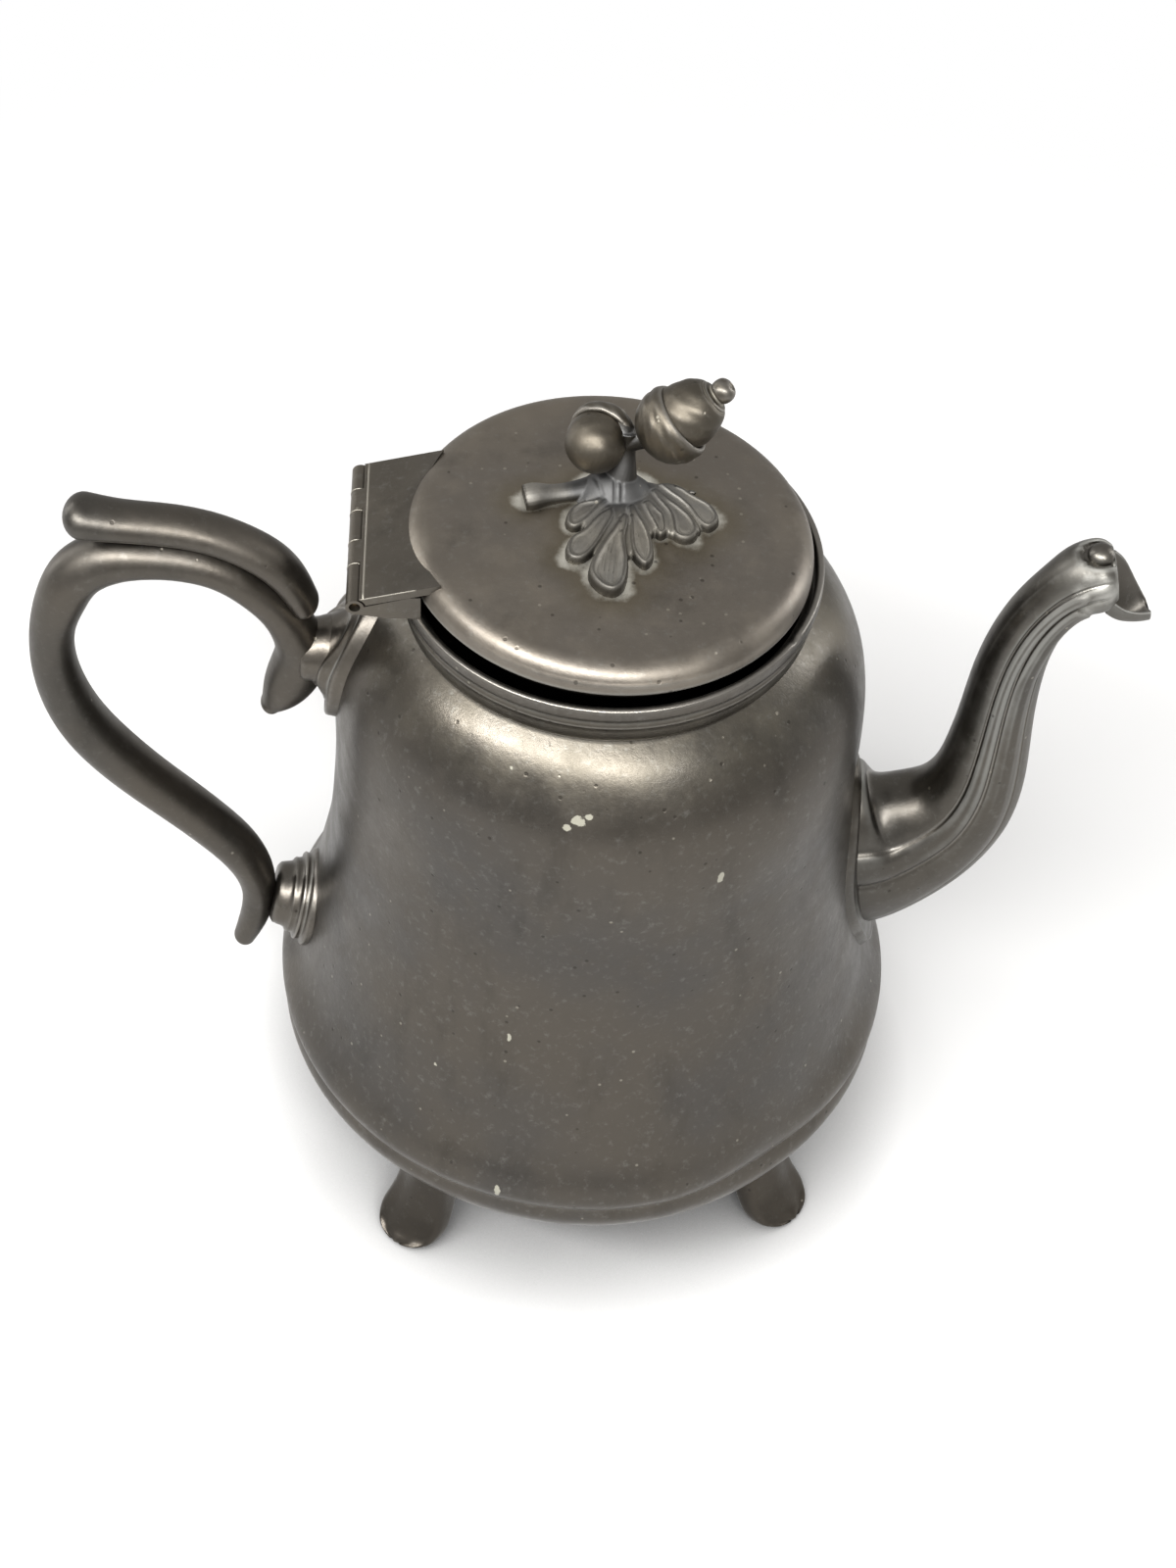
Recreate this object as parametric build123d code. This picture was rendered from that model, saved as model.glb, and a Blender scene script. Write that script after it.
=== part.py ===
from build123d import *
import os
from math import atan2, cos, hypot, radians, sin

# All lengths are millimetres. The body stands on z = 0 and is turned about the Z axis through the
# point x = y = 0; the spout points to +X and the handle to -X. Just before the pieces are written they
# are moved along X, so that the row's origin is under the middle of the whole pot.

# Body
body_radius = 75.0
neck_radius = 43.8
seam_height = 41.2
neck_height = 172.5
shell_wall = 1.6
bowl_wall = 1.8
floor_radius = 45.0
floor_height = 9.0
strainer_hole_radius = 1.9
strainer_pitch = 6.6

# Gallery round the mouth
rim_radius = 45.5
rim_height = 183.0
rim_wall = 1.7
rim_band = 4.3
bead_groove = 0.9
ledge_depth = 3.4
ledge_width = 1.8
lip_round = 0.55

# Lid
lid_radius = 43.3
lid_offset = 0.4
lid_clearance = 2.5
lid_side = 6.0
lid_edge_round = 5.2
lid_crown = 0.9
lid_sheet = 1.6
lid_tilt = 2.0
bezel_radius = 40.2
bezel_wall = 1.4
bezel_drop = 3.6

# Hinge
hinge_reach = 53.2
hinge_height = 186.0
barrel_radius = 1.9
barrel_length = 40.6
pin_radius = 1.15
pin_clearance = 0.05
pin_recess = 2.0
knuckle_gap = 0.3
leaf_gap = 0.45
lid_leaf_thickness = 1.9
leaf_slope = 17.0
leaf_end_gap = 0.9

# Spout, as an outline of centres with half sizes in the spout's plane and across it
spout_wall = 1.5
spout_run = 44.7
spout_height = 179.4
spout_root_height = 86.5
spout_root_half_height = 25.0
spout_root_half_width = 15.4
spout_mouth_radius = 7.2
spout_flute_depth = 0.9
flange_thickness = 1.7
flange_margin = 3.4
lip_length = 10.4
lip_drop = 15.6
lip_width = 12.8
lip_tip_width = 7.0
lip_wall = 1.3
boss_radius = 3.2
boss_setback = 4.4

# Handle
handle_span = 56.5
handle_top = 180.3
handle_half_depth = 5.0
handle_half_width = 6.0
handle_foot_height = 63.8
socket_height = 151.5
socket_length = 6.2
thumb_leaf_half_depth = 4.0
thumb_leaf_half_width = 5.4
socket_neck_radius = 8.6
socket_plate_half_height = 18.0
socket_plate_half_width = 11.5
socket_plate_thickness = 2.2
lower_collar_radius = 12.0
lower_collar_step = 1.5

# Feet
foot_width = 17.6
foot_neck_width = 14.0
foot_setback = 0.4
foot_reach = body_radius - foot_setback
foot_length = 27.0
foot_top_height = 23.0
left_foot_angle = 52.0
right_foot_angle = 43.5

# Finial
finial_height = 19.9
trunk_radius = 2.7
trunk_knot_radius = 3.3
leaf_thickness = 2.0
leaf_length = 26.5
side_leaf_length = 17.0
twig_radius = 2.4
nut_radius = 6.8
nut_length = 16.0
nut_protrusion = 9.4
cup_radius = 7.7
cup_depth = 8.0
knob_radius = 2.1
knob_neck_radius = 1.7
small_nut_radius = 6.5
small_nut_length = 14.0
small_cup_radius = 7.2
small_cup_wall = 0.9
small_cup_lip = 1.2
stud_radius = 2.0
stud_clearance = 0.2
stud_drop = 4.6
stud_nut_radius = 4.6
stud_nut_height = 2.6

# One overrun serves all cuts
overrun = 5.0

# Radius shares run from the neck (0) to the widest radius (1); height shares from the seam to the neck
shell_outline_shares = (
    (0.980, 0.000), (1.000, 0.016), (0.905, 0.082), (0.778, 0.174), (0.680, 0.280), (0.585, 0.402),
    (0.530, 0.524), (0.498, 0.646), (0.484, 0.798), (0.420, 0.874), (0.305, 0.928), (0.165, 0.970),
    (0.000, 1.000),
)
# Radius shares run from the floor (0) to the widest radius (1); height shares from the floor to the seam
bowl_outline_shares = (
    (0.000, 0.000), (0.180, 0.060), (0.400, 0.172), (0.630, 0.345), (0.820, 0.555), (0.935, 0.720),
    (0.985, 0.860), (0.950, 1.000),
)
# Height where the bowl's floor ends and its wall starts, as a share of the bowl's height
bowl_joint_share = 0.23


def sides(points, start, end):
    """Points set inwards from a line of (radius, height) points by a wall that runs from start to end."""
    inner = []
    last = len(points) - 1
    for i, (r, z) in enumerate(points):
        before = points[max(i - 1, 0)]
        after = points[min(i + 1, last)]
        dr = after[0] - before[0]
        dz = after[1] - before[1]
        run = hypot(dr, dz)
        wall = start + (end - start) * i / last
        inner.append((r - wall * dz / run, z + wall * dr / run))
    return inner


def turned(outline):
    """A solid of revolution about Z from a closed face in the XZ plane."""
    return revolve(outline, Axis.Z, 360)


def flat(points):
    """Points (x, z) of the XZ plane as 3-D points."""
    return [(x, 0, z) for x, z in points]


def bar(start, way, radius, length):
    """A cylinder that starts at a place and runs along a direction."""
    return Plane(start, z_dir=way) * Cylinder(radius, length, align=(Align.CENTER, Align.CENTER, Align.MIN))


def polygon(points):
    return make_face(Polyline(*flat(points), close=True))


def along_axis(points):
    """A solid turned about Z from (radius, height) points."""
    return turned(polygon(points))


# Body shell and bowl

def shell_outline(outset=0.0):
    reach = body_radius - neck_radius
    rise = neck_height - seam_height
    outer = [(neck_radius + a * reach, seam_height + b * rise) for a, b in shell_outline_shares]
    return sides(outer, -outset, -outset) if outset else outer


def bowl_outline():
    reach = body_radius - floor_radius
    rise = seam_height - floor_height
    return [(floor_radius + a * reach, floor_height + b * rise) for a, b in bowl_outline_shares]


def shell_face(outer, inner):
    edges = Spline(*flat(outer)), Line(*flat((outer[-1], inner[-1])))
    edges += Spline(*flat(inner[::-1])), Line(*flat((inner[0], outer[0])))
    return make_face(edges)


def shell_core(outset=0.0):
    """The whole body as one closed solid, grown by outset, to cut what sits on it."""
    outer = shell_outline(outset)
    face = make_face([
        Spline(*flat(outer)),
        Polyline(*flat((outer[-1], (0, outer[-1][1]), (0, outer[0][1]), outer[0]))),
    ])
    return turned(face)


def bowl_core():
    outer = bowl_outline()
    top = outer[-1]
    face = make_face([
        Spline(*flat(outer)),
        Polyline(*flat((top, (0, top[1]), (0, outer[0][1]), outer[0]))),
    ])
    return turned(face)


def strainer_holes():
    """Three rows of holes through the wall, behind the spout."""
    holes = Part()
    for row, count in ((-2, 2), (-1, 3), (0, 2), (1, 3), (2, 2)):
        for i in range(count):
            y = strainer_pitch * (i - (count - 1) / 2)
            z = spout_root_height + strainer_pitch * row * sin(radians(60))
            holes += bar((body_radius / 2, y, z), (1, 0, 0), strainer_hole_radius, body_radius)
    return holes


def body_shell():
    outer = shell_outline()
    inner = sides(outer, shell_wall, shell_wall)
    inner[-1] = (neck_radius - shell_wall, neck_height)
    inner[0] = (outer[0][0] - shell_wall, seam_height)
    return turned(shell_face(outer, inner)) - strainer_holes()


def bowl_parts():
    """The bowl's floor and its wall, which meet face to face."""
    outer = bowl_outline()
    inner = sides(outer, bowl_wall, shell_wall)
    inner[-1] = (outer[-1][0] - shell_wall, seam_height)
    inner[0] = (floor_radius, floor_height + bowl_wall)
    face = make_face([
        Spline(*flat(outer)),
        Line(*flat((outer[-1], inner[-1]))),
        Spline(*flat(inner[::-1])),
        Polyline(*flat((inner[0], (0, inner[0][1]), (0, floor_height), outer[0]))),
    ])
    bowl = turned(face)
    joint = Plane((0, 0, floor_height + bowl_joint_share * (seam_height - floor_height)))
    return split(bowl, joint, keep=Keep.BOTTOM), split(bowl, joint, keep=Keep.TOP)


def gallery_ring():
    band_foot = rim_height - rim_band
    groove = rim_radius - bead_groove
    ledge = rim_height - ledge_depth
    bore = rim_radius - rim_wall
    neck_bore = bore - ledge_width
    return along_axis([
        (neck_radius, neck_height), (groove, band_foot - bead_groove), (groove, band_foot),
        (rim_radius, band_foot + bead_groove), (rim_radius, rim_height - lip_round),
        (rim_radius - lip_round, rim_height), (bore + lip_round, rim_height), (bore, rim_height - lip_round),
        (bore, ledge), (neck_bore, ledge), (neck_bore, neck_height),
    ])


# Lid, built level and then turned about the hinge by its tilt

def lid_level():
    """Height of the lid's lower edge while the lid is level."""
    return rim_height + lid_clearance + sin(radians(lid_tilt)) * (hinge_reach - lid_offset)


def lid_solid(radius, low, top, corner, crown):
    """A disc with a rounded shoulder and a slightly crowned top."""
    shoulder = sin(radians(45)) * corner
    outer = [
        Line((radius, 0, low), (radius, 0, top - corner)),
        ThreePointArc(
            (radius, 0, top - corner),
            (radius - corner + shoulder, 0, top - corner + shoulder),
            (radius - corner, 0, top),
        ),
        ThreePointArc(
            (radius - corner, 0, top),
            (0, 0, top + crown),
            (corner - radius, 0, top),
        ).trim(0, 0.5),
        Polyline((0, 0, top + crown), (0, 0, low), (radius, 0, low)),
    ]
    return Pos(-lid_offset, 0, 0) * turned(make_face(outer))


def lid_core():
    low = lid_level()
    return lid_solid(lid_radius, low, low + lid_side, lid_edge_round, lid_crown)


def lid_inside():
    """The hollow under the lid's sheet, carried on below it."""
    low = lid_level()
    corner = lid_edge_round - lid_sheet
    return lid_solid(lid_radius - lid_sheet, low - overrun, low + lid_side - lid_sheet, corner, lid_crown)


def lid_plate():
    low = lid_level()
    hole = Pos(0, 0, low) * Cylinder(stud_radius + stud_clearance, overrun * 4)
    return lid_core() - lid_inside() - hole


def lid_bezel():
    low = lid_level()
    foot_place = (-lid_offset, 0, low - bezel_drop)
    ring = bar(foot_place, (0, 0, 1), bezel_radius, lid_side + bezel_drop)
    ring -= bar(foot_place, (0, 0, 1), bezel_radius - bezel_wall, lid_side + bezel_drop)
    return ring & lid_inside()


# Hinge

knuckle_end_shares = (0.0, 0.27, 0.44, 0.66, 0.82, 1.0)


def knuckle_spans():
    near = -barrel_length / 2
    ends = [near + share * barrel_length for share in knuckle_end_shares]
    return list(zip(ends[:-1], ends[1:]))


def rod(radius, start, end):
    """A cylinder along Y at the hinge's axis, from y = start to y = end."""
    return bar((-hinge_reach, start, hinge_height), (0, 1, 0), radius, end - start)


def slab(points):
    """A solid as wide as the barrel whose section is given by (x, z) points from the hinge's axis."""
    places = [(-hinge_reach + x, hinge_height + z) for x, z in points]
    return extrude(polygon(places), amount=barrel_length / 2, both=True)


def knuckles(leaf, own):
    """Adds a leaf's own knuckles and cuts room for the other leaf's."""
    for i, (start, end) in enumerate(knuckle_spans()):
        if i % 2 == own:
            first = start + (knuckle_gap / 2 if i else 0)
            last = end - (knuckle_gap / 2 if i < 4 else 0)
            leaf += rod(barrel_radius, first, last)
        else:
            room = overrun if i in (0, 4) else knuckle_gap / 2
            low = start - (room if i == 0 else knuckle_gap / 2)
            high = end + (room if i == 4 else knuckle_gap / 2)
            leaf -= rod(barrel_radius + leaf_gap, low, high)
    bore = rod(pin_radius + pin_clearance, -barrel_length, barrel_length)
    return leaf - bore


def lid_hinge_leaf():
    run = hinge_reach
    rise = sin(radians(leaf_slope))
    fall = cos(radians(leaf_slope))
    top = barrel_radius
    under = top - lid_leaf_thickness
    plate = slab([
        (-top * rise, top * fall), (-under * rise, under * fall),
        (run * fall - under * rise, run * rise + under * fall),
        (run * fall - top * rise, run * rise + top * fall),
    ])
    span = Box(hinge_reach * 3, barrel_length, overrun * 3)
    reach = Pos(-lid_offset, 0, lid_level() + lid_side / 2) * span
    plate = plate & reach
    disc = Pos(-lid_offset, 0, lid_level()) * Cylinder(lid_radius - overrun / 2, overrun * 8)
    leaf = plate - lid_core() - disc
    keep = [s for s in leaf.solids() if s.center().X < -lid_offset]
    return knuckles(Part() + keep, 1)


def body_hinge_leaf():
    rise = sin(radians(leaf_slope))
    fall = cos(radians(leaf_slope))
    under = barrel_radius - lid_leaf_thickness - leaf_gap
    run = hinge_reach - lid_radius + barrel_radius
    foot = rim_height - hinge_height
    leaf = slab([
        (0, under), (run * fall, run * rise + under), (run * 2, run * rise + under),
        (run * 2, foot),
        (rim_wall * 4, foot), (0, -barrel_radius),
    ])
    away = Pos(-lid_offset, 0, hinge_height) * Cylinder(lid_radius + leaf_end_gap, overrun * 4)
    leaf -= away
    keep = [s for s in leaf.solids() if s.center().X < -lid_offset]
    return knuckles(Part() + keep, 0)


def hinge_pin():
    half = barrel_length / 2 - pin_recess
    return rod(pin_radius, -half, half)


# Spout

# Centres as shares: along X from the root to the mouth, along Z from the root's to the mouth's height
spout_centre_shares = (
    (-0.220, 0.000), (0.076, 0.017), (0.223, 0.041), (0.370, 0.095), (0.496, 0.172), (0.567, 0.274),
    (0.589, 0.394), (0.594, 0.523), (0.602, 0.649), (0.630, 0.760), (0.688, 0.856), (0.779, 0.934),
    (0.882, 0.980), (1.000, 1.000),
)
# Half sizes as shares: in the spout's plane from the mouth's radius to the root's half height, and across it
spout_size_shares = (
    (1.000, 1.000), (1.000, 1.000), (0.760, 0.785), (0.567, 0.618), (0.376, 0.452), (0.225, 0.290),
    (0.135, 0.188), (0.071, 0.108), (0.036, 0.069), (0.008, 0.015), (-0.008, -0.016), (-0.005, -0.010),
    (0.010, 0.020), (0.000, 0.000),
)
# Directions of the grooves between the flutes, in degrees from the side that faces the pot
flute_angles = (62, 88, 136, 224, 272, 298)
# Heights where one length of the spout ends and the next starts, as shares of its rise
spout_joint_shares = (0.365, 0.700, 0.888)


def spout_stations():
    """Centre (x, z), direction, half size in the plane and half size across, from root to mouth."""
    start = shell_radius_at(spout_root_height)
    rise = spout_height - spout_root_height
    centres = [(start + a * spout_run, spout_root_height + b * rise) for a, b in spout_centre_shares]
    last = len(centres) - 1
    stations = []
    for i, (x, z) in enumerate(centres):
        before = centres[max(i - 1, 0)]
        after = centres[min(i + 1, last)]
        turn = atan2(after[1] - before[1], after[0] - before[0])
        a, b = spout_size_shares[i]
        deep = spout_mouth_radius + a * (spout_root_half_height - spout_mouth_radius)
        wide = spout_mouth_radius + b * (spout_root_half_width - spout_mouth_radius)
        stations.append((x, z, turn, deep, wide))
    stations[0] = stations[0][:2] + (0.0,) + stations[0][3:]
    return stations


def shell_radius_at(height):
    """Radius of the body's outline at a height, between its points."""
    outline = shell_outline()
    for (r0, z0), (r1, z1) in zip(outline, outline[1:]):
        if z0 <= height <= z1:
            return r0 + (r1 - r0) * (height - z0) / (z1 - z0)
    return body_radius


def cross_section(station):
    x, z, turn = station[:3]
    return Plane((x, 0, z), x_dir=(-sin(turn), 0, cos(turn)), z_dir=(cos(turn), 0, sin(turn)))


def fluted(station):
    """A closed line of arcs: the grooves lie inside the ellipse and the flutes' crowns on it."""
    deep, wide = station[3:]

    def on(angle, inset):
        a = radians(angle)
        return ((deep - inset) * cos(a), (wide - inset) * sin(a))

    edges = []
    ends = flute_angles[1:] + (flute_angles[0] + 360,)
    for low, high in zip(flute_angles, ends):
        start = on(low, spout_flute_depth)
        end = on(high, spout_flute_depth)
        edges.append(ThreePointArc(start, on((low + high) / 2, 0), end))
    return cross_section(station) * make_face(edges)


def plain(station, inset):
    deep, wide = station[3:]
    return cross_section(station) * Ellipse(deep - inset, wide - inset)


def spout_solid():
    return loft([fluted(s) for s in spout_stations()])


def spout_bore():
    inset = spout_wall + spout_flute_depth
    stations = spout_stations()
    x, z, turn, deep, wide = stations[-1]
    past = (x + overrun * cos(turn), z + overrun * sin(turn), turn, deep, wide)
    return loft([plain(s, inset) for s in stations + [past]])


def spout_lengths():
    """The spout's wall as four lengths that meet face to face, from the root to the mouth."""
    wall = spout_solid() - spout_bore() - shell_core()
    rise = spout_height - spout_root_height
    lengths = []
    for share in spout_joint_shares:
        joint = Plane((0, 0, spout_root_height + share * rise))
        lengths.append(split(wall, joint, keep=Keep.BOTTOM))
        wall = split(wall, joint, keep=Keep.TOP)
    return lengths + [wall]


def spout_root_flange():
    grown = shell_core(flange_thickness) - shell_core()
    half_height = spout_root_half_height + flange_margin
    half_width = spout_root_half_width + flange_margin
    place = Plane((0, 0, spout_root_height), x_dir=(0, 0, 1), z_dir=(1, 0, 0))
    oval = place * extrude(Ellipse(half_height, half_width), amount=body_radius + overrun)
    return (grown & oval) - spout_solid() - spout_bore()


def mouth_frame():
    """Place and direction of the spout's mouth."""
    x, z, turn = spout_stations()[-1][:3]
    return x, z, turn


def lip_prism(side_view, inset):
    """The part of an extruded side view that lies between walls which narrow towards the beak."""
    x = mouth_frame()[0]
    tip = x + lip_length
    half = lip_width / 2 - inset
    beak = lip_tip_width / 2 - inset
    plan = Polyline(
        (x - lip_width, -half, 0), (x, -half, 0), (tip, -beak, 0),
        (tip, beak, 0), (x, half, 0), (x - lip_width, half, 0), close=True)
    return extrude(polygon(side_view), amount=lip_width, both=True) & extrude(
        make_face(plan), amount=rim_height + overrun * 2)


def spout_lip():
    """The pouring lip: a trough in front of the mouth whose rim slopes forward to a narrow beak."""
    x, z, turn = mouth_frame()
    top = z + spout_mouth_radius * cos(turn) - lip_wall
    low = z - spout_mouth_radius * cos(turn)
    tip = x + lip_length
    rim = top - lip_drop
    outer = lip_prism([
        (x - lip_wall, top), (x, top), (tip, rim), (tip, rim - lip_wall), (x, low - lip_wall),
        (x - lip_wall, low)], 0)
    trough = lip_prism([
        (x - lip_wall * 2, low), (x - lip_wall * 2, top + overrun), (tip - lip_wall, top + overrun),
        (tip - lip_wall, rim), (x, low)], lip_wall)
    return outer - trough - spout_solid() - spout_bore()


def spout_top_boss():
    """A button on top of the spout, behind its mouth."""
    x, z, turn = mouth_frame()
    x -= spout_mouth_radius * sin(turn) + boss_setback * cos(turn)
    z += spout_mouth_radius * cos(turn) - boss_setback * sin(turn)
    return Pos(x, 0, z) * Sphere(boss_radius) - spout_solid()


# Handle

# Centres as shares: X from the upper socket's end (0) over the span (1), Z from the foot (0) to the top (1),
# from the scroll's end under the upper socket round to the curl below the lower socket
handle_centre_shares = (
    (0.168, 0.607), (0.124, 0.641), (0.071, 0.693), (0.040, 0.749), (0.062, 0.808), (0.120, 0.869),
    (0.212, 0.925), (0.327, 0.971), (0.464, 0.995), (0.602, 1.000), (0.733, 0.990), (0.850, 0.956),
    (0.930, 0.891), (0.986, 0.806), (1.000, 0.715), (0.973, 0.621), (0.906, 0.530), (0.805, 0.448),
    (0.688, 0.373), (0.565, 0.303), (0.448, 0.233), (0.350, 0.163), (0.290, 0.089), (0.276, 0.015),
    (0.301, -0.058), (0.350, -0.130),
)
# Half sizes as shares of the handle's own half depth and half width
handle_size_shares = (
    (0.50, 0.56), (0.92, 0.86), (1.20, 1.02), (1.18, 1.05), (1.02, 1.00), (0.92, 0.97),
    (0.90, 0.97), (0.92, 0.98), (0.96, 1.00), (1.00, 1.02), (1.10, 1.04), (1.15, 1.06),
    (1.11, 1.06), (0.99, 0.95), (1.00, 0.96), (1.08, 1.03), (1.13, 1.08), (1.13, 1.08),
    (1.09, 1.05), (1.07, 1.02), (1.05, 1.00), (1.01, 0.97), (0.92, 0.88), (0.80, 0.76),
    (0.70, 0.66), (0.54, 0.52),
)
# The thumb leaf's centres, as shares of the same spans, and its sizes, as shares of its own half sizes
thumb_centre_shares = (
    (0.020, 0.886), (0.099, 0.966), (0.235, 1.025), (0.389, 1.060), (0.549, 1.075), (0.690, 1.082),
    (0.814, 1.092),
)
thumb_size_shares = (
    (0.80, 0.90), (0.95, 1.00), (0.95, 0.98), (0.95, 0.96), (0.97, 0.96), (1.00, 0.98), (1.12, 1.06),
)


def handle_place(shares):
    """A place (x, z) on the handle, which starts where the upper socket ends."""
    start = shell_radius_at(socket_height) + socket_length
    rise = handle_top - handle_foot_height
    return -start - shares[0] * handle_span, handle_foot_height + shares[1] * rise


def tube(centre_shares, size_shares, half_depth, half_width):
    """A tapering bar through centres in the XZ plane, with elliptical sections."""
    centres = [handle_place(shares) for shares in centre_shares]
    last = len(centres) - 1
    faces = []
    for i, (x, z) in enumerate(centres):
        before = centres[max(i - 1, 0)]
        after = centres[min(i + 1, last)]
        turn = atan2(after[1] - before[1], after[0] - before[0])
        a, b = size_shares[i]
        faces.append(plain((x, z, turn, half_depth * a, half_width * b), 0))
    return loft(faces)


def handle_arm():
    """The scroll's bar without the lobes at its upper end."""
    return tube(handle_centre_shares, handle_size_shares, handle_half_depth, handle_half_width)


def handle_scroll():
    return handle_arm() - shell_core(socket_plate_thickness) - socket_neck_solid() - lower_collar_solid()


def handle_thumb_leaf():
    leaf = tube(thumb_centre_shares, thumb_size_shares, thumb_leaf_half_depth, thumb_leaf_half_width)
    x, z = handle_place(thumb_centre_shares[-1])
    deep = thumb_leaf_half_depth * thumb_size_shares[-1][0]
    wide = thumb_leaf_half_width * thumb_size_shares[-1][1]
    end = Pos(x, 0, z) * scale(Sphere(deep), by=(1, wide / deep, 1))
    return leaf - handle_arm() + (end - handle_arm())


def turned_along_x(start, height, steps):
    """A stack of discs along -X from the body's side, as (length, radius) steps."""
    solid = Part()
    x = start
    for length, radius in steps:
        solid += bar((x, 0, height), (-1, 0, 0), radius, length)
        x -= length
    return solid


def socket_neck_solid():
    start = -shell_radius_at(socket_height) + overrun
    return turned_along_x(start, socket_height, ((socket_length + overrun, socket_neck_radius),))


def upper_socket():
    return socket_neck_solid() - shell_core(socket_plate_thickness)


def upper_socket_plate():
    grown = shell_core(socket_plate_thickness) - shell_core()
    place = Plane((0, 0, socket_height), x_dir=(0, 0, 1), z_dir=(-1, 0, 0))
    oval = Ellipse(socket_plate_half_height, socket_plate_half_width)
    return grown & (place * extrude(oval, amount=body_radius + overrun))


def lower_collar_solid():
    """Ribs that step down from the body to the handle's foot."""
    height = handle_foot_height
    body = shell_radius_at(height)
    r = lower_collar_radius
    step = lower_collar_step
    return turned_along_x(-body + overrun, height, (
        (overrun + step, r), (step, r - step), (step, r), (step, r - step * 2), (step * 2, r - step * 3)))


def lower_socket():
    return lower_collar_solid() - shell_core()


# Feet

# The foot's front and back lines: lengths in from the tip as shares of its length, and heights as shares
# of its height
foot_sole_shares = (0.04, 0.00)
foot_front_shares = ((0.00, 0.05), (0.07, 0.13), (0.17, 0.30), (0.27, 0.58), (0.33, 1.00))
foot_back_shares = ((0.90, 1.00), (0.74, 0.52), (0.58, 0.22), (0.46, 0.08), (0.38, 0.00))


def foot(angle):
    """A tongue splayed outwards under the bowl, its tip flat on the table."""
    def at(a, b):
        return (foot_reach - a * foot_length, b * foot_top_height)

    front = [at(a, b) for a, b in foot_front_shares]
    back = [at(a, b) for a, b in foot_back_shares]
    side = make_face([
        Spline(*flat(front)),
        Line(*flat((front[-1], back[0]))),
        Spline(*flat(back)),
        Polyline(*flat((back[-1], at(*foot_sole_shares), front[0]))),
    ])
    blade = extrude(side, amount=foot_width, both=True)
    half = foot_width / 2
    neck = foot_neck_width / 2
    inner = foot_reach - foot_length - overrun
    plan = make_face([
        Spline((inner, -neck, 0), (foot_reach - half * 2, -neck, 0), (foot_reach - half, -half, 0)),
        ThreePointArc((foot_reach - half, -half, 0), (foot_reach, 0, 0), (foot_reach - half, half, 0)),
        Spline((foot_reach - half, half, 0), (foot_reach - half * 2, neck, 0), (inner, neck, 0)),
        Line((inner, neck, 0), (inner, -neck, 0)),
    ])
    tongue = blade & extrude(plan, amount=foot_top_height + overrun)
    return Rot(0, 0, angle) * (tongue - bowl_core())


# Finial, in the lid's level frame: x and y from the body's axis, z from the lid's flat top

# Places as shares of the finial's height: x, y and z
trunk_foot_shares = (0.06, 0.38, 0.00)
trunk_top_shares = (0.09, 0.62, 0.80)
large_rim_shares = (0.66, 0.60, 1.00)
small_nut_shares = (-0.22, 0.58, 0.62)
# Directions of the two acorns, from cup to tip
large_acorn_way = (0.740, 0.085, 0.667)
small_acorn_way = (-0.760, -0.480, -0.440)
# Roots and headings of the leaves, and their tongues from the midrib: start, reach, turn and width,
# as shares of the leaf's length, with the turn in degrees
front_root_shares = (0.05, 0.215)
side_root_shares = (0.27, 0.325)
front_heading = -95
side_heading = -25
front_lobe_shares = (
    (0.00, 0.60, 0, 0.20), (0.32, 0.68, 0, 0.27), (0.05, 0.515, -54, 0.21), (0.20, 0.567, -44, 0.22),
    (0.25, 0.563, 27, 0.22), (0.12, 0.472, 50, 0.19),
)
side_lobe_shares = (
    (0.00, 0.70, 0, 0.28), (0.25, 0.75, 0, 0.34), (0.10, 0.90, -32, 0.32), (0.15, 0.55, 30, 0.27),
)
twig_start_shares = (-0.16, 0.33)
twig_end_shares = (-0.71, 0.225)


def on_lid(x, y, z):
    return (x, y, lid_level() + lid_side + z)


def finial_place(shares):
    return on_lid(*(finial_height * share for share in shares))


def finial_trunk():
    """A stem that starts inside the lid's sheet and ends in the knot that carries both acorns."""
    low = Vector(*finial_place(trunk_foot_shares))
    top = Vector(*finial_place(trunk_top_shares))
    way = top - low
    stem = bar(low - way.normalized() * overrun, way, trunk_radius, way.length + overrun)
    return stem + Pos(top) * Sphere(trunk_knot_radius) - lid_core()


def leaf_solid(root_shares, length, heading, lobes):
    """A flat leaf on the lid, of tongues that spring from its midrib."""
    outline = Sketch()
    for start, reach, turn, width in lobes:
        tongue = Ellipse(length * reach / 2, length * width / 2)
        spring = Rot(0, 0, heading) * Pos(length * start, 0, 0) * Rot(0, 0, turn)
        outline += spring * Pos(length * reach / 2, 0, 0) * tongue
    x, y = (leaf_length * share for share in root_shares)
    rise = lid_crown + leaf_thickness
    return Pos(*on_lid(x, y, -overrun)) * extrude(outline, amount=overrun + rise) - lid_core()


def oak_leaf_front():
    return leaf_solid(front_root_shares, leaf_length, front_heading, front_lobe_shares) - finial_trunk()


def oak_leaf_side():
    leaf = leaf_solid(side_root_shares, side_leaf_length, side_heading, side_lobe_shares)
    return leaf - oak_leaf_front() - finial_trunk()


def twig_stub():
    lift = lid_crown + twig_radius / 3
    start = Vector(*on_lid(*(leaf_length * share for share in twig_start_shares), lift))
    end = Vector(*on_lid(*(leaf_length * share for share in twig_end_shares), lift))
    twig = bar(start, end - start, twig_radius, (end - start).length)
    return twig - lid_core() - finial_trunk() - oak_leaf_front()


def cup_solid(radius, depth):
    """A cup with its mouth at z = 0 and its round back below."""
    dome = scale(Sphere(radius), by=(1, 1, depth / radius))
    half = Pos(0, 0, -radius) * Box(radius * 3, radius * 3, radius * 2)
    return dome & half


def egg(radius, length):
    return scale(Sphere(radius), by=(1, 1, length / radius / 2))


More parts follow.
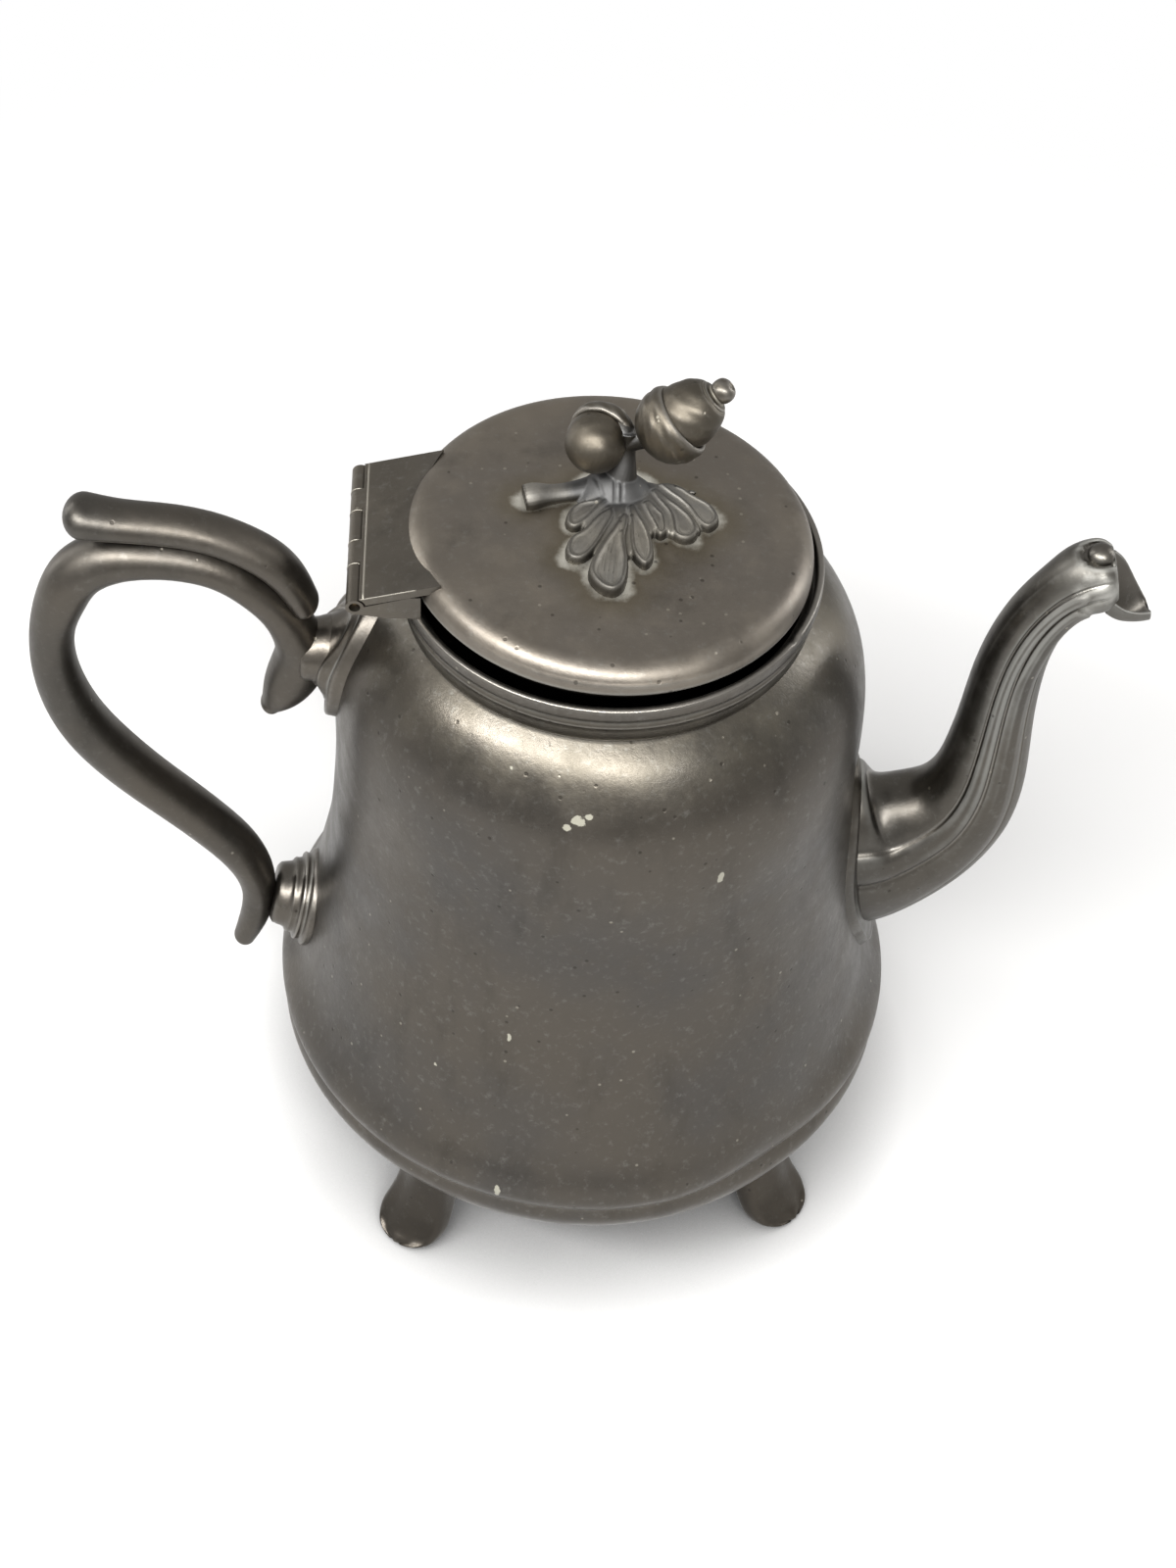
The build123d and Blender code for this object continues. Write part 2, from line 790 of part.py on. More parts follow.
def large_place():
    return Plane(finial_place(large_rim_shares), z_dir=large_acorn_way)


def large_acorn_nut():
    """The nut from inside its cup to the knob on its tip."""
    shoulder = nut_protrusion - nut_length / 2
    nut = Pos(0, 0, shoulder) * egg(nut_radius, nut_length)
    neck = Pos(0, 0, nut_protrusion) * Cylinder(knob_neck_radius, knob_radius * 2)
    knob = Pos(0, 0, nut_protrusion + knob_radius) * Sphere(knob_radius)
    return large_place() * (nut + neck + knob)


def large_acorn_cup():
    return large_place() * cup_solid(cup_radius, cup_depth) - large_acorn_nut() - finial_trunk()


def small_place():
    return Plane(finial_place(small_nut_shares), z_dir=small_acorn_way)


def small_acorn_nut():
    return small_place() * egg(small_nut_radius, small_nut_length) - finial_trunk() - large_acorn_cup()


def small_acorn_cup():
    """A shallow cup behind the small nut, open to the nut's widest part."""
    depth = small_nut_length / 2 + small_cup_wall - small_cup_lip
    cup = Pos(0, 0, -small_cup_lip) * cup_solid(small_cup_radius, depth)
    body = small_place() * cup - small_place() * egg(small_nut_radius, small_nut_length)
    return body - finial_trunk() - large_acorn_cup() - large_acorn_nut()


def finial_stud():
    """A stud cast on the finial's foot that passes through the lid."""
    low = lid_level() + lid_side - lid_sheet - stud_drop
    height = lid_sheet + stud_drop + lid_crown
    return bar((0, 0, low), (0, 0, 1), stud_radius, height) - oak_leaf_front() - finial_trunk()


def finial_nut():
    top = lid_level() + lid_side - lid_sheet
    nut = bar((0, 0, top - stud_nut_height), (0, 0, 1), stud_nut_radius, stud_nut_height)
    return nut - Pos(0, 0, top) * Cylinder(stud_radius, overrun * 4)


# Everything that turns with the lid is set at the lid's tilt about the hinge

def tilted(shape):
    at_hinge = Pos(-hinge_reach, 0, hinge_height)
    return at_hinge * Rot(0, lid_tilt, 0) * at_hinge.inverse() * shape


fixed_pieces = {
    "body_shell": body_shell, "gallery_ring": gallery_ring,
    "body_hinge_leaf": body_hinge_leaf, "hinge_pin": hinge_pin, "spout_root_flange": spout_root_flange,
    "spout_lip": spout_lip, "spout_top_boss": spout_top_boss,
    "handle_scroll": handle_scroll, "handle_thumb_leaf": handle_thumb_leaf, "upper_socket": upper_socket,
    "upper_socket_plate": upper_socket_plate, "lower_socket": lower_socket,
}
lid_pieces = {
    "lid_plate": lid_plate, "lid_bezel": lid_bezel, "lid_hinge_leaf": lid_hinge_leaf,
    "finial_trunk": finial_trunk, "oak_leaf_front": oak_leaf_front, "oak_leaf_side": oak_leaf_side,
    "twig_stub": twig_stub, "large_acorn_cup": large_acorn_cup, "large_acorn_nut": large_acorn_nut,
    "small_acorn_cup": small_acorn_cup, "small_acorn_nut": small_acorn_nut, "finial_stud": finial_stud,
    "finial_nut": finial_nut,
}
bowl_names = ("base_floor", "base_bowl")
spout_names = ("spout_root", "spout_stem", "spout_neck", "spout_mouth")
foot_angles = {
    "foot_front_left": 180 + left_foot_angle, "foot_front_right": -right_foot_angle,
    "foot_back_left": 180 - left_foot_angle, "foot_back_right": right_foot_angle,
}

pieces = {name: make() for name, make in fixed_pieces.items()}
pieces |= {name: tilted(make()) for name, make in lid_pieces.items()}
pieces |= {name: foot(angle) for name, angle in foot_angles.items()}
pieces |= dict(zip(bowl_names, bowl_parts()))
pieces |= dict(zip(spout_names, spout_lengths()))

boxes = [piece.bounding_box() for piece in pieces.values()]
middle = (min(box.min.X for box in boxes) + max(box.max.X for box in boxes)) / 2

os.makedirs("parts", exist_ok=True)
for name, piece in pieces.items():
    export_step(Pos(-middle, 0, 0) * piece, f"parts/{name}.step")
print("body axis at x =", round(-middle, 4))
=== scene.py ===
from math import atan2, cos, exp, hypot, pi, radians, sin, sqrt, tan

import bpy
import numpy as np
from mathutils import Matrix, Vector, noise


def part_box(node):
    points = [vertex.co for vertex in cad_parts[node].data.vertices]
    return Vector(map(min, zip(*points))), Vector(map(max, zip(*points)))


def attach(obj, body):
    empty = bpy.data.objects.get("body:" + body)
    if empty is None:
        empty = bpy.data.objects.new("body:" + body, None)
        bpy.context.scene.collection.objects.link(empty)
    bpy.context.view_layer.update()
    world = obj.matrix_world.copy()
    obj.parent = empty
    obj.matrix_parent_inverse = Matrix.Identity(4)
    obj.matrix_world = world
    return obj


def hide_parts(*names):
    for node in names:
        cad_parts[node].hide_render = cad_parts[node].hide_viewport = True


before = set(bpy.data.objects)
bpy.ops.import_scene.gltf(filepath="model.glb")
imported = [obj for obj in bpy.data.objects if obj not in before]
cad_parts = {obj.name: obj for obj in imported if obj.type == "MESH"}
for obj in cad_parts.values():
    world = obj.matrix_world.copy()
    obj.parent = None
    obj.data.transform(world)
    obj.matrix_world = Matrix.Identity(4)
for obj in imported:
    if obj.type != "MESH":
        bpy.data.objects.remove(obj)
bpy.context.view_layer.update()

# Places are worked out in millimetres from the foot of the body's axis and turned into metres when a mesh is made.
MM = 0.001
low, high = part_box("body_shell")
AXIS_X = (low.x + high.x) / 2 / MM
HINGE_X, HINGE_Z, LID_TILT = -53.2, 186.0, radians(2.0)


def smooth(a, b, x):
    """0 below a, 1 above b and a soft step between."""
    t = min(max((x - a) / (b - a), 0.0), 1.0)
    return t * t * (3 - 2 * t)


def ease(a, b, x):
    """The same soft step for arrays."""
    t = np.clip((x - a) / (b - a), 0.0, 1.0)
    return t * t * (3 - 2 * t)


def bell(x, width):
    return exp(-(x / width) ** 2)


def spline(points, count):
    """A smooth line of count points through the given ones, evenly spaced in chord length."""
    p = np.asarray(points, float)
    step = np.linalg.norm(np.diff(p, axis=0), axis=1)
    t = np.concatenate([[0], np.cumsum(step)])
    n = len(p)
    a = np.zeros((n, n))
    b = np.zeros_like(p)
    a[0, 0] = a[-1, -1] = 1
    for i in range(1, n - 1):
        h0, h1 = t[i] - t[i - 1], t[i + 1] - t[i]
        a[i, i - 1], a[i, i], a[i, i + 1] = h0, 2 * (h0 + h1), h1
        b[i] = 6 * ((p[i + 1] - p[i]) / h1 - (p[i] - p[i - 1]) / h0)
    m = np.linalg.solve(a, b)
    out = []
    for s in np.linspace(0, t[-1], count):
        i = min(int(np.searchsorted(t, s, side="right")) - 1, n - 2)
        h = t[i + 1] - t[i]
        u, v = (t[i + 1] - s) / h, (s - t[i]) / h
        out.append(u * p[i] + v * p[i + 1] + ((u ** 3 - u) * m[i] + (v ** 3 - v) * m[i + 1]) * h * h / 6)
    return np.array(out)


# Materials

def node(tree, kind, inputs=(), **settings):
    made = tree.nodes.new(kind)
    for key, value in settings.items():
        setattr(made, key, value)
    for key, value in dict(inputs).items():
        if isinstance(value, bpy.types.NodeSocket):
            tree.links.new(value, made.inputs[key])
        else:
            made.inputs[key].default_value = value
    return made


def math(tree, operation, a, b=0.0, c=0.0, clamp=False):
    return node(tree, "ShaderNodeMath", {0: a, 1: b, 2: c}, operation=operation, use_clamp=clamp).outputs[0]


def ramp(tree, value, start, end, first=0.0, last=1.0):
    """value mapped smoothly from start..end to first..last."""
    made = node(tree, "ShaderNodeMapRange", {0: value, 1: start, 2: end, 3: first, 4: last},
                interpolation_type="SMOOTHSTEP")
    return made.outputs[0]


def mix(tree, share, a, b):
    made = node(tree, "ShaderNodeMix", data_type="RGBA")
    for key, value in ((0, share), (6, a), (7, b)):
        if isinstance(value, bpy.types.NodeSocket):
            tree.links.new(value, made.inputs[key])
        else:
            made.inputs[key].default_value = (*value, 1.0) if isinstance(value, tuple) else value
    return made.outputs[2]


def cloud(tree, place, scale, detail=4.0, rough=0.55, squash=None):
    vector = place
    if squash:
        vector = node(tree, "ShaderNodeMapping", {0: place, 3: squash}).outputs[0]
    made = node(tree, "ShaderNodeTexNoise", {"Vector": vector, "Scale": scale, "Detail": detail, "Roughness": rough})
    return made.outputs["Fac"]


def pewter(name, dark, warm, pale, roughness=0.40, patina=None, chips=(), halo=(), grain=1.0, oxide=0.5,
           speck=0.55, painted_wall_shade=0.0, worn_edge_and_shade=(0.30, 0.285, 0.26), halo_tints=((0.115, 0.100, 0.070), (0.27, 0.245, 0.195)), halo_reach=1.0):
    """Worn pewter: cloudy satin metal with a tint in its hollows (pale oxide on most parts, dark on the finial), bright
    worn edges, pits and specks; where given, a dark edge colour and walls paint shade on convex rims and steep walls.
    """
    mat = bpy.data.materials.new(name)
    mat.use_nodes = True
    tree = mat.node_tree
    shader = tree.nodes["Principled BSDF"]
    place = node(tree, "ShaderNodeTexCoord").outputs["Object"]
    curve = node(tree, "ShaderNodeAttribute", attribute_name="hollow").outputs["Fac"]
    wide = cloud(tree, place, 22.0, 3.0)
    blotch = cloud(tree, place, 110.0, 5.0, 0.62)
    fine = cloud(tree, place, 900.0, 3.0, 0.6)
    dust = cloud(tree, place, 3800.0, 2.0, 0.5)
    colour = mix(tree, ramp(tree, wide, 0.36, 0.64), dark, warm)
    colour = mix(tree, ramp(tree, blotch, 0.50, 0.72, 0.0, 0.45), colour, warm)
    if patina:
        z0, z1, z2, z3, tint, strength = patina
        height = node(tree, "ShaderNodeSeparateXYZ", {0: place}).outputs[2]
        rise = math(tree, "MULTIPLY", ramp(tree, height, z0 * MM, z1 * MM), ramp(tree, height, z2 * MM, z3 * MM, 1.0, 0.0))
        share = math(tree, "MULTIPLY", rise, ramp(tree, blotch, 0.30, 0.70, strength * 0.45, strength))
        colour = mix(tree, share, colour, tint)
    streak = cloud(tree, place, 75.0, 6.0, 0.65, squash=(1.0, 1.0, 0.35))
    shade = mix(tree, 0.45, colour, (0.02, 0.019, 0.017))
    colour = mix(tree, ramp(tree, streak, 0.50, 0.74, 0.0, 0.55), colour, shade)
    mottle = cloud(tree, place, 520.0, 5.0, 0.70)
    colour = mix(tree, ramp(tree, mottle, 0.52, 0.80, 0.0, 0.30), colour, pale)
    hollow = ramp(tree, math(tree, "ADD", curve, math(tree, "MULTIPLY", math(tree, "SUBTRACT", blotch, 0.5), 0.5)),
                  0.10, 0.75, 0.0, oxide)
    colour = mix(tree, hollow, colour, pale)
    # Convex edges take the edge colour: bright wear on most parts; on the finial a dark colour, painted shade that also
    # dims the highlights on its rims.
    edge = ramp(tree, math(tree, "SUBTRACT", math(tree, "MULTIPLY", curve, -1.0), math(tree, "MULTIPLY", fine, 0.25)),
                0.05, 0.60, 0.0, 0.55)
    colour = mix(tree, edge, colour, worn_edge_and_shade)
    if halo:
        near = None
        if halo == "mark":
            near = math(tree, "MULTIPLY", node(tree, "ShaderNodeAttribute", attribute_name="mark").outputs["Fac"], MM)
            halo = ()
        for x, y, z, r in halo:
            apart = node(tree, "ShaderNodeVectorMath", {0: place, 1: ((AXIS_X + x) * MM, y * MM, z * MM)},
                         operation="DISTANCE").outputs["Value"]
            apart = math(tree, "SUBTRACT", apart, r * MM)
            near = apart if near is None else math(tree, "SMOOTH_MIN", near, apart, 0.004)
        ragged = math(tree, "ADD", near, math(tree, "MULTIPLY", math(tree, "SUBTRACT", blotch, 0.5), 0.016 * halo_reach))
        tight = ramp(tree, ragged, -0.0005, 0.0044 * halo_reach, 0.92, 0.0)
        loose = ramp(tree, ragged, 0.0, 0.020 * halo_reach, 0.65, 0.0)
        colour = mix(tree, loose, colour, halo_tints[0])
        colour = mix(tree, tight, colour, halo_tints[1])
    # Steep walls, told by their normal, are darkened towards near-black: painted shade.
    if painted_wall_shade:
        facing = node(tree, "ShaderNodeSeparateXYZ", {0: node(tree, "ShaderNodeTexCoord").outputs["Normal"]}).outputs[2]
        colour = mix(tree, ramp(tree, facing, 0.15, 0.72, painted_wall_shade, 0.0), colour, (0.040, 0.036, 0.030))
    # Small pale specks and pits
    cells = node(tree, "ShaderNodeTexVoronoi", {"Vector": place, "Scale": 420.0, "Randomness": 1.0})
    lottery = node(tree, "ShaderNodeSeparateColor", {0: cells.outputs["Color"]}).outputs[0]
    dot = math(tree, "MULTIPLY", ramp(tree, cells.outputs["Distance"], 0.10, 0.20, 1.0, 0.0),
               math(tree, "GREATER_THAN", lottery, 1.0 - 0.06 * speck))
    pit = math(tree, "MULTIPLY", ramp(tree, cells.outputs["Distance"], 0.12, 0.24, 1.0, 0.0),
               math(tree, "LESS_THAN", lottery, 0.08 * speck))
    colour = mix(tree, math(tree, "MULTIPLY", dot, 0.55), colour, (0.36, 0.335, 0.28))
    colour = mix(tree, math(tree, "MULTIPLY", pit, 0.5), colour, (0.025, 0.022, 0.018))
    chip = None
    for x, y, z, across, tall in chips:
        centred = node(tree, "ShaderNodeVectorMath", {0: place, 1: ((AXIS_X + x) * MM, y * MM, z * MM)},
                       operation="SUBTRACT").outputs[0]
        sized = node(tree, "ShaderNodeVectorMath", {0: centred, 1: (1 / (across * MM), 1 / (3.0 * MM), 1 / (tall * MM))},
                     operation="MULTIPLY").outputs[0]
        apart = node(tree, "ShaderNodeVectorMath", {0: sized}, operation="LENGTH").outputs["Value"]
        spot = ramp(tree, math(tree, "ADD", apart, math(tree, "MULTIPLY", math(tree, "SUBTRACT", fine, 0.5), 1.6)),
                    0.75, 1.05, 1.0, 0.0)
        chip = spot if chip is None else math(tree, "MAXIMUM", chip, spot)
    rough = ramp(tree, blotch, 0.30, 0.72, roughness - 0.05, roughness + 0.07)
    rough = math(tree, "ADD", rough, math(tree, "MULTIPLY", hollow, 0.22))
    rough = math(tree, "ADD", rough, math(tree, "MULTIPLY", math(tree, "SUBTRACT", fine, 0.5), 0.10 * grain), clamp=True)
    metal = math(tree, "SUBTRACT", 1.0, math(tree, "MULTIPLY", hollow, 0.45), clamp=True)
    if chip is not None:
        colour = mix(tree, math(tree, "MULTIPLY", chip, 0.85), colour, (0.33, 0.32, 0.26))
        metal = math(tree, "SUBTRACT", metal, math(tree, "MULTIPLY", chip, 0.8), clamp=True)
    level = math(tree, "MULTIPLY", math(tree, "ADD", math(tree, "MULTIPLY", fine, 0.55), math(tree, "MULTIPLY", dust, 0.22)), grain)
    level = math(tree, "ADD", level, math(tree, "MULTIPLY", blotch, 0.9 * grain))
    level = math(tree, "SUBTRACT", level, math(tree, "MULTIPLY", math(tree, "ADD", dot, pit), 0.7))
    bump = node(tree, "ShaderNodeBump", {"Strength": 0.30, "Distance": 0.00022, "Height": level}).outputs[0]
    tree.links.new(colour, shader.inputs["Base Color"])
    tree.links.new(rough, shader.inputs["Roughness"])
    tree.links.new(metal, shader.inputs["Metallic"])
    tree.links.new(bump, shader.inputs["Normal"])
    return mat


GREY = (0.090, 0.084, 0.077)
BROWN = (0.104, 0.093, 0.079)
PALE = (0.30, 0.30, 0.28)
OLIVE = (0.165, 0.150, 0.112)

body_chips = (
    (24.1, -53.9, 141.0, 0.7, 2.0), (-6.8, -54.6, 159.8, 1.6, 1.1), (-8.9, -54.6, 158.2, 1.0, 0.7),
    (-4.6, -54.4, 160.8, 0.9, 0.7), (-19.5, -59.7, 89.7, 0.5, 1.1), (-36.0, -57.3, 73.0, 0.5, 0.6),
    (-21.3, -71.4, 44.8, 0.7, 2.3), (-20.6, -48.3, 166.4, 0.5, 0.4),
)
body_mat = pewter("body_pewter_look", GREY, BROWN, PALE, 0.36, patina=(158, 168, 176, 184, OLIVE, 0.30), speck=0.9,
                  chips=body_chips)
lid_mat = pewter("lid_pewter_look", (0.186, 0.167, 0.144), (0.216, 0.191, 0.157), PALE, 0.42,
                 halo="mark", halo_reach=0.42, speck=1.5,
                 halo_tints=((0.165, 0.140, 0.095), (0.80, 0.78, 0.70)))
cast_mat = pewter("cast_pewter_look", (0.108, 0.100, 0.090), (0.126, 0.113, 0.096), (0.24, 0.24, 0.225), 0.36, oxide=0.75)
handle_mat = pewter("handle_pewter_look", (0.088, 0.082, 0.073), (0.104, 0.093, 0.079), (0.20, 0.195, 0.18), 0.41)
# The finial's dark edge colour and darkened walls are painted shade on the rims and sides of its leaves.
finial_mat = pewter("finial_pewter_look", (0.235, 0.226, 0.208), (0.275, 0.256, 0.220), (0.085, 0.078, 0.064), 0.54,
                    oxide=0.8, speck=0.9, painted_wall_shade=0.9, worn_edge_and_shade=(0.05, 0.046, 0.040), halo_reach=0.5,
                    # The halo darkens the trunk and the spot under the small acorn: the trunk's own darker tone and
                    # painted shade, which also dims the key lamp's highlight on the trunk.
                    halo=((1.2, 8.8, 196.0, 7.0), (1.5, 9.8, 202.0, 5.0), (-6.0, 8.4, 193.0, 3.0)),
                    halo_tints=((0.105, 0.104, 0.102), (0.088, 0.088, 0.088)))
acorn_mat = pewter("acorn_pewter_look", (0.098, 0.087, 0.070), (0.130, 0.114, 0.090), (0.25, 0.235, 0.20), 0.46,
                   oxide=0.7, speck=2.2)
spout_halo = ((101.5, -5.0, 182.9, 0.9), (104.2, -6.1, 181.6, 1.1), (106.3, -6.6, 180.2, 1.0), (103.5, -7.0, 178.6, 0.6),
              (99.5, -5.9, 180.4, 0.3), (102.0, -7.3, 176.0, 0.4))
spout_mat = pewter("spout_pewter_look", (0.085, 0.080, 0.072), (0.100, 0.091, 0.078), (0.24, 0.24, 0.225), 0.36,
                   oxide=0.75, halo=spout_halo, halo_tints=((0.16, 0.155, 0.14), (0.38, 0.375, 0.35)), halo_reach=0.4)
foot_mat = pewter("foot_pewter_look", (0.060, 0.054, 0.047), (0.075, 0.066, 0.055), (0.15, 0.145, 0.13), 0.36)
hinge_mat = pewter("hinge_pewter_look", (0.112, 0.103, 0.090), (0.134, 0.120, 0.100), PALE, 0.40)
# Pale metal for the solder, for the joints of the hinge and for the painted highlight on the hinge's leaf.
pale_mat = pewter("solder_and_highlight_look", (0.34, 0.32, 0.27), (0.42, 0.39, 0.32), PALE, 0.5)
# A darker copy of the pewter for the spout's bore and the lid's bezel, which sit in recesses: painted shade.
shaded_inner_mat = pewter("inner_pewter_shade_look", (0.055, 0.050, 0.044), (0.075, 0.068, 0.056), (0.16, 0.15, 0.13), 0.50)
pin_mat = pewter("pin_metal_look", (0.20, 0.16, 0.10), (0.26, 0.20, 0.12), (0.30, 0.26, 0.20), 0.38)
SLOTS = {}


# Mesh helpers

def tilted(points):
    """Points of the lid, given level, turned about the hinge by the lid's tilt."""
    p = np.array(points, float)
    x, z = p[:, 0] - HINGE_X, p[:, 2] - HINGE_Z
    p[:, 0] = HINGE_X + x * cos(LID_TILT) + z * sin(LID_TILT)
    p[:, 2] = HINGE_Z - x * sin(LID_TILT) + z * cos(LID_TILT)
    return p


def mark_hollows(mesh, reach=1.0):
    """Stores on each vertex how hollow (above 0) or sharp (below 0) the surface is there, per millimetre."""
    n = len(mesh.vertices)
    co = np.zeros(n * 3)
    mesh.vertices.foreach_get("co", co)
    co = co.reshape(-1, 3) / MM
    normal = np.zeros(n * 3)
    mesh.vertices.foreach_get("normal", normal)
    normal = normal.reshape(-1, 3)
    edges = np.zeros(len(mesh.edges) * 2, int)
    mesh.edges.foreach_get("vertices", edges)
    a, b = edges.reshape(-1, 2).T
    gap = co[b] - co[a]
    size = np.maximum((gap ** 2).sum(1), 1e-6)
    total = np.zeros(n)
    count = np.zeros(n)
    np.add.at(total, a, 2 * (gap * normal[a]).sum(1) / size)
    np.add.at(total, b, -2 * (gap * normal[b]).sum(1) / size)
    np.add.at(count, a, 1)
    np.add.at(count, b, 1)
    value = np.clip(total / np.maximum(count, 1), -3, 3)
    for _ in range(2):
        spread = value.copy()
        np.add.at(spread, a, value[b])
        np.add.at(spread, b, value[a])
        value = spread / (count + 1)
    mesh.attributes.new("hollow", "FLOAT", "POINT").data.foreach_set("value", (value * reach).astype(np.float32))


def piece(name, verts, faces, mat, body, nodes=(), slot=None, lid=False, reach=1.0, sharp=None, subsurf=0, marks=None):
    """Makes a smooth piece from points in millimetres, which rides on a body and stands for CAD nodes."""
    points = tilted(verts) if lid else np.array(verts, float)
    points = (points + np.array([AXIS_X, 0, 0])) * MM
    mesh = bpy.data.meshes.new(name)
    mesh.from_pydata([tuple(p) for p in points], [], [tuple(int(i) for i in f) for f in faces])
    mesh.validate()
    mesh.polygons.foreach_set("use_smooth", [True] * len(mesh.polygons))
    mesh.update()
    mark_hollows(mesh, reach)
    if marks is not None:
        mesh.attributes.new("mark", "FLOAT", "POINT").data.foreach_set("value", np.array(marks, np.float32))
    mesh.materials.append(mat)
    made = bpy.data.objects.new(name, mesh)
    bpy.context.scene.collection.objects.link(made)
    if sharp:
        split = made.modifiers.new("crisp", "EDGE_SPLIT")
        split.split_angle = radians(sharp)
    if subsurf:
        made.modifiers.new("soft", "SUBSURF").levels = subsurf
        made.modifiers["soft"].render_levels = subsurf
    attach(made, body)
    if nodes:
        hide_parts(*nodes)
    return made


def strip(rings, closed_ring=True, closed_path=False, start_cap=False, end_cap=False):
    """Vertices and faces of a skin over rings of equal length."""
    verts = [tuple(p) for ring in rings for p in ring]
    n, m = len(rings), len(rings[0])
    faces = []
    for i in range(n if closed_path else n - 1):
        j = (i + 1) % n
        for k in range(m if closed_ring else m - 1):
            q = (k + 1) % m
            faces.append((i * m + k, i * m + q, j * m + q, j * m + k))
    for cap, ring, flip in ((start_cap, 0, True), (end_cap, n - 1, False)):
        if cap:
            middle = np.mean(rings[ring], axis=0)
            verts.append(tuple(middle))
            c = len(verts) - 1
            for k in range(m):
                q = (k + 1) % m
                faces.append((c, ring * m + q, ring * m + k) if flip else (c, ring * m + k, ring * m + q))
    return verts, faces


def lathe(profile, count=256, shape=None):
    """Rings turned about the body's axis from (radius, height) points; shape may move each point."""
    rings = []
    for r, z in profile:
        ring = []
        for k in range(count):
            t = 2 * pi * k / count
            p = (r * cos(t), r * sin(t), z)
            ring.append(shape(p, t) if shape else p)
        rings.append(ring)
    return rings


def joined(*parts):
    """One list of vertices and faces from several."""
    verts, faces = [], []
    for v, f in parts:
        base = len(verts)
        verts += list(v)
        faces += [tuple(i + base for i in face) for face in f]
    return verts, faces


def turned_on(start, way, profile, count=64, shape=None, roll=(0, 0, 1)):
    """Rings turned about an axis that starts at a place: profile is (distance along, radius) points."""
    w = np.array(way, float)
    w /= np.linalg.norm(w)
    u = np.cross(np.array(roll, float), w)
    u /= np.linalg.norm(u)
    v = np.cross(w, u)
    rings = []
    for s, r in profile:
        ring = []
        for k in range(count):
            t = 2 * pi * k / count
            rr, ss = (shape(r, s, t) if shape else (r, s))
            ring.append(np.array(start) + w * ss + (u * cos(t) + v * sin(t)) * rr)
        rings.append(ring)
    return rings


def tube_rings(centres, depths, widths, count=48, section=None):
    """Rings along a line in the XZ plane; depths lie in the plane and widths across it."""
    rings = []
    n = len(centres)
    for i in range(n):
        before, after = centres[max(i - 1, 0)], centres[min(i + 1, n - 1)]
        turn = atan2(after[1] - before[1], after[0] - before[0])
        x, z = centres[i]
        ring = []
        for k in range(count):
            t = 2 * pi * k / count
            a, b = depths[i] * cos(t), widths[i] * sin(t)
            if section:
                a, b = section(a, b, t, i / (n - 1), depths[i], widths[i])
            ring.append((x - sin(turn) * a, b, z + cos(turn) * a))
        rings.append(ring)
    return rings


# Body shell

BODY_R, NECK_R, SEAM_Z, NECK_Z = 75.0, 43.8, 41.2, 172.5
shell_shares = (
    (0.980, 0.000), (1.000, 0.016), (0.905, 0.082), (0.778, 0.174), (0.680, 0.280), (0.585, 0.402),
    (0.530, 0.524), (0.498, 0.646), (0.484, 0.798), (0.420, 0.874), (0.305, 0.928), (0.165, 0.970),
    (0.000, 1.000),
)
bowl_shares = (
    (0.000, 0.000), (0.180, 0.060), (0.400, 0.172), (0.630, 0.345), (0.820, 0.555), (0.935, 0.720),
    (0.985, 0.860), (0.950, 1.000),
)
shell_line = spline([(NECK_R + a * (BODY_R - NECK_R), SEAM_Z + b * (NECK_Z - SEAM_Z)) for a, b in shell_shares], 150)
bowl_line = spline([(45 + a * (BODY_R - 45), 9 + b * (SEAM_Z - 9)) for a, b in bowl_shares], 44)


def inset(line, wall):
    """A line moved inwards by a wall."""
    out = []
    for i, (r, z) in enumerate(line):
        before, after = line[max(i - 1, 0)], line[min(i + 1, len(line) - 1)]
        run = hypot(after[0] - before[0], after[1] - before[1])
        out.append((r - wall * (after[1] - before[1]) / run, z + wall * (after[0] - before[0]) / run))
    return out


def dented(p, t):
    """The dent at the lower right of the front, and faint hand-worked waves."""
    x, y, z = p
    angle = ((t + pi) % (2 * pi)) - pi
    away = (angle - radians(-52)) / radians(17)
    push = 2.3 * bell(away, 1.0) * bell((z - 44.0 - 3 * away) / 8.5, 1.0)
    push += 0.22 * (1 + sin(3 * t + z / 17.0)) * smooth(0, 30, z)
    push += 0.10 * (1 + sin(5 * t - z / 23.0))
    r = hypot(x, y)
    k = (r - push) / r
    return (x * k, y * k, z)


outer = [tuple(p) for p in shell_line]
inner = inset(outer, 1.6)[::-1]
inner[0] = (NECK_R - 1.6, NECK_Z)
inner[-1] = (outer[0][0] - 1.6, SEAM_Z)
rings = lathe(outer + inner, 288, dented)


def pierced(verts, faces, rods):
    """A closed skin with the rods cut out of it."""
    made = []
    for part_verts, part_faces in ((verts, faces), joined(*rods)):
        mesh = bpy.data.meshes.new("cut")
        mesh.from_pydata([tuple(p) for p in part_verts], [], [tuple(int(i) for i in f) for f in part_faces])
        part = bpy.data.objects.new("cut", mesh)
        bpy.context.scene.collection.objects.link(part)
        made.append(part)
    cut = made[0].modifiers.new("cut", "BOOLEAN")
    cut.operation, cut.solver, cut.object = "DIFFERENCE", "MANIFOLD", made[1]
    bpy.context.view_layer.update()
    ready = made[0].evaluated_get(bpy.context.evaluated_depsgraph_get()).to_mesh()
    verts = [tuple(v.co) for v in ready.vertices]
    faces = [tuple(f.vertices) for f in ready.polygons]
    for part in made:
        bpy.data.objects.remove(part)
    return verts, faces


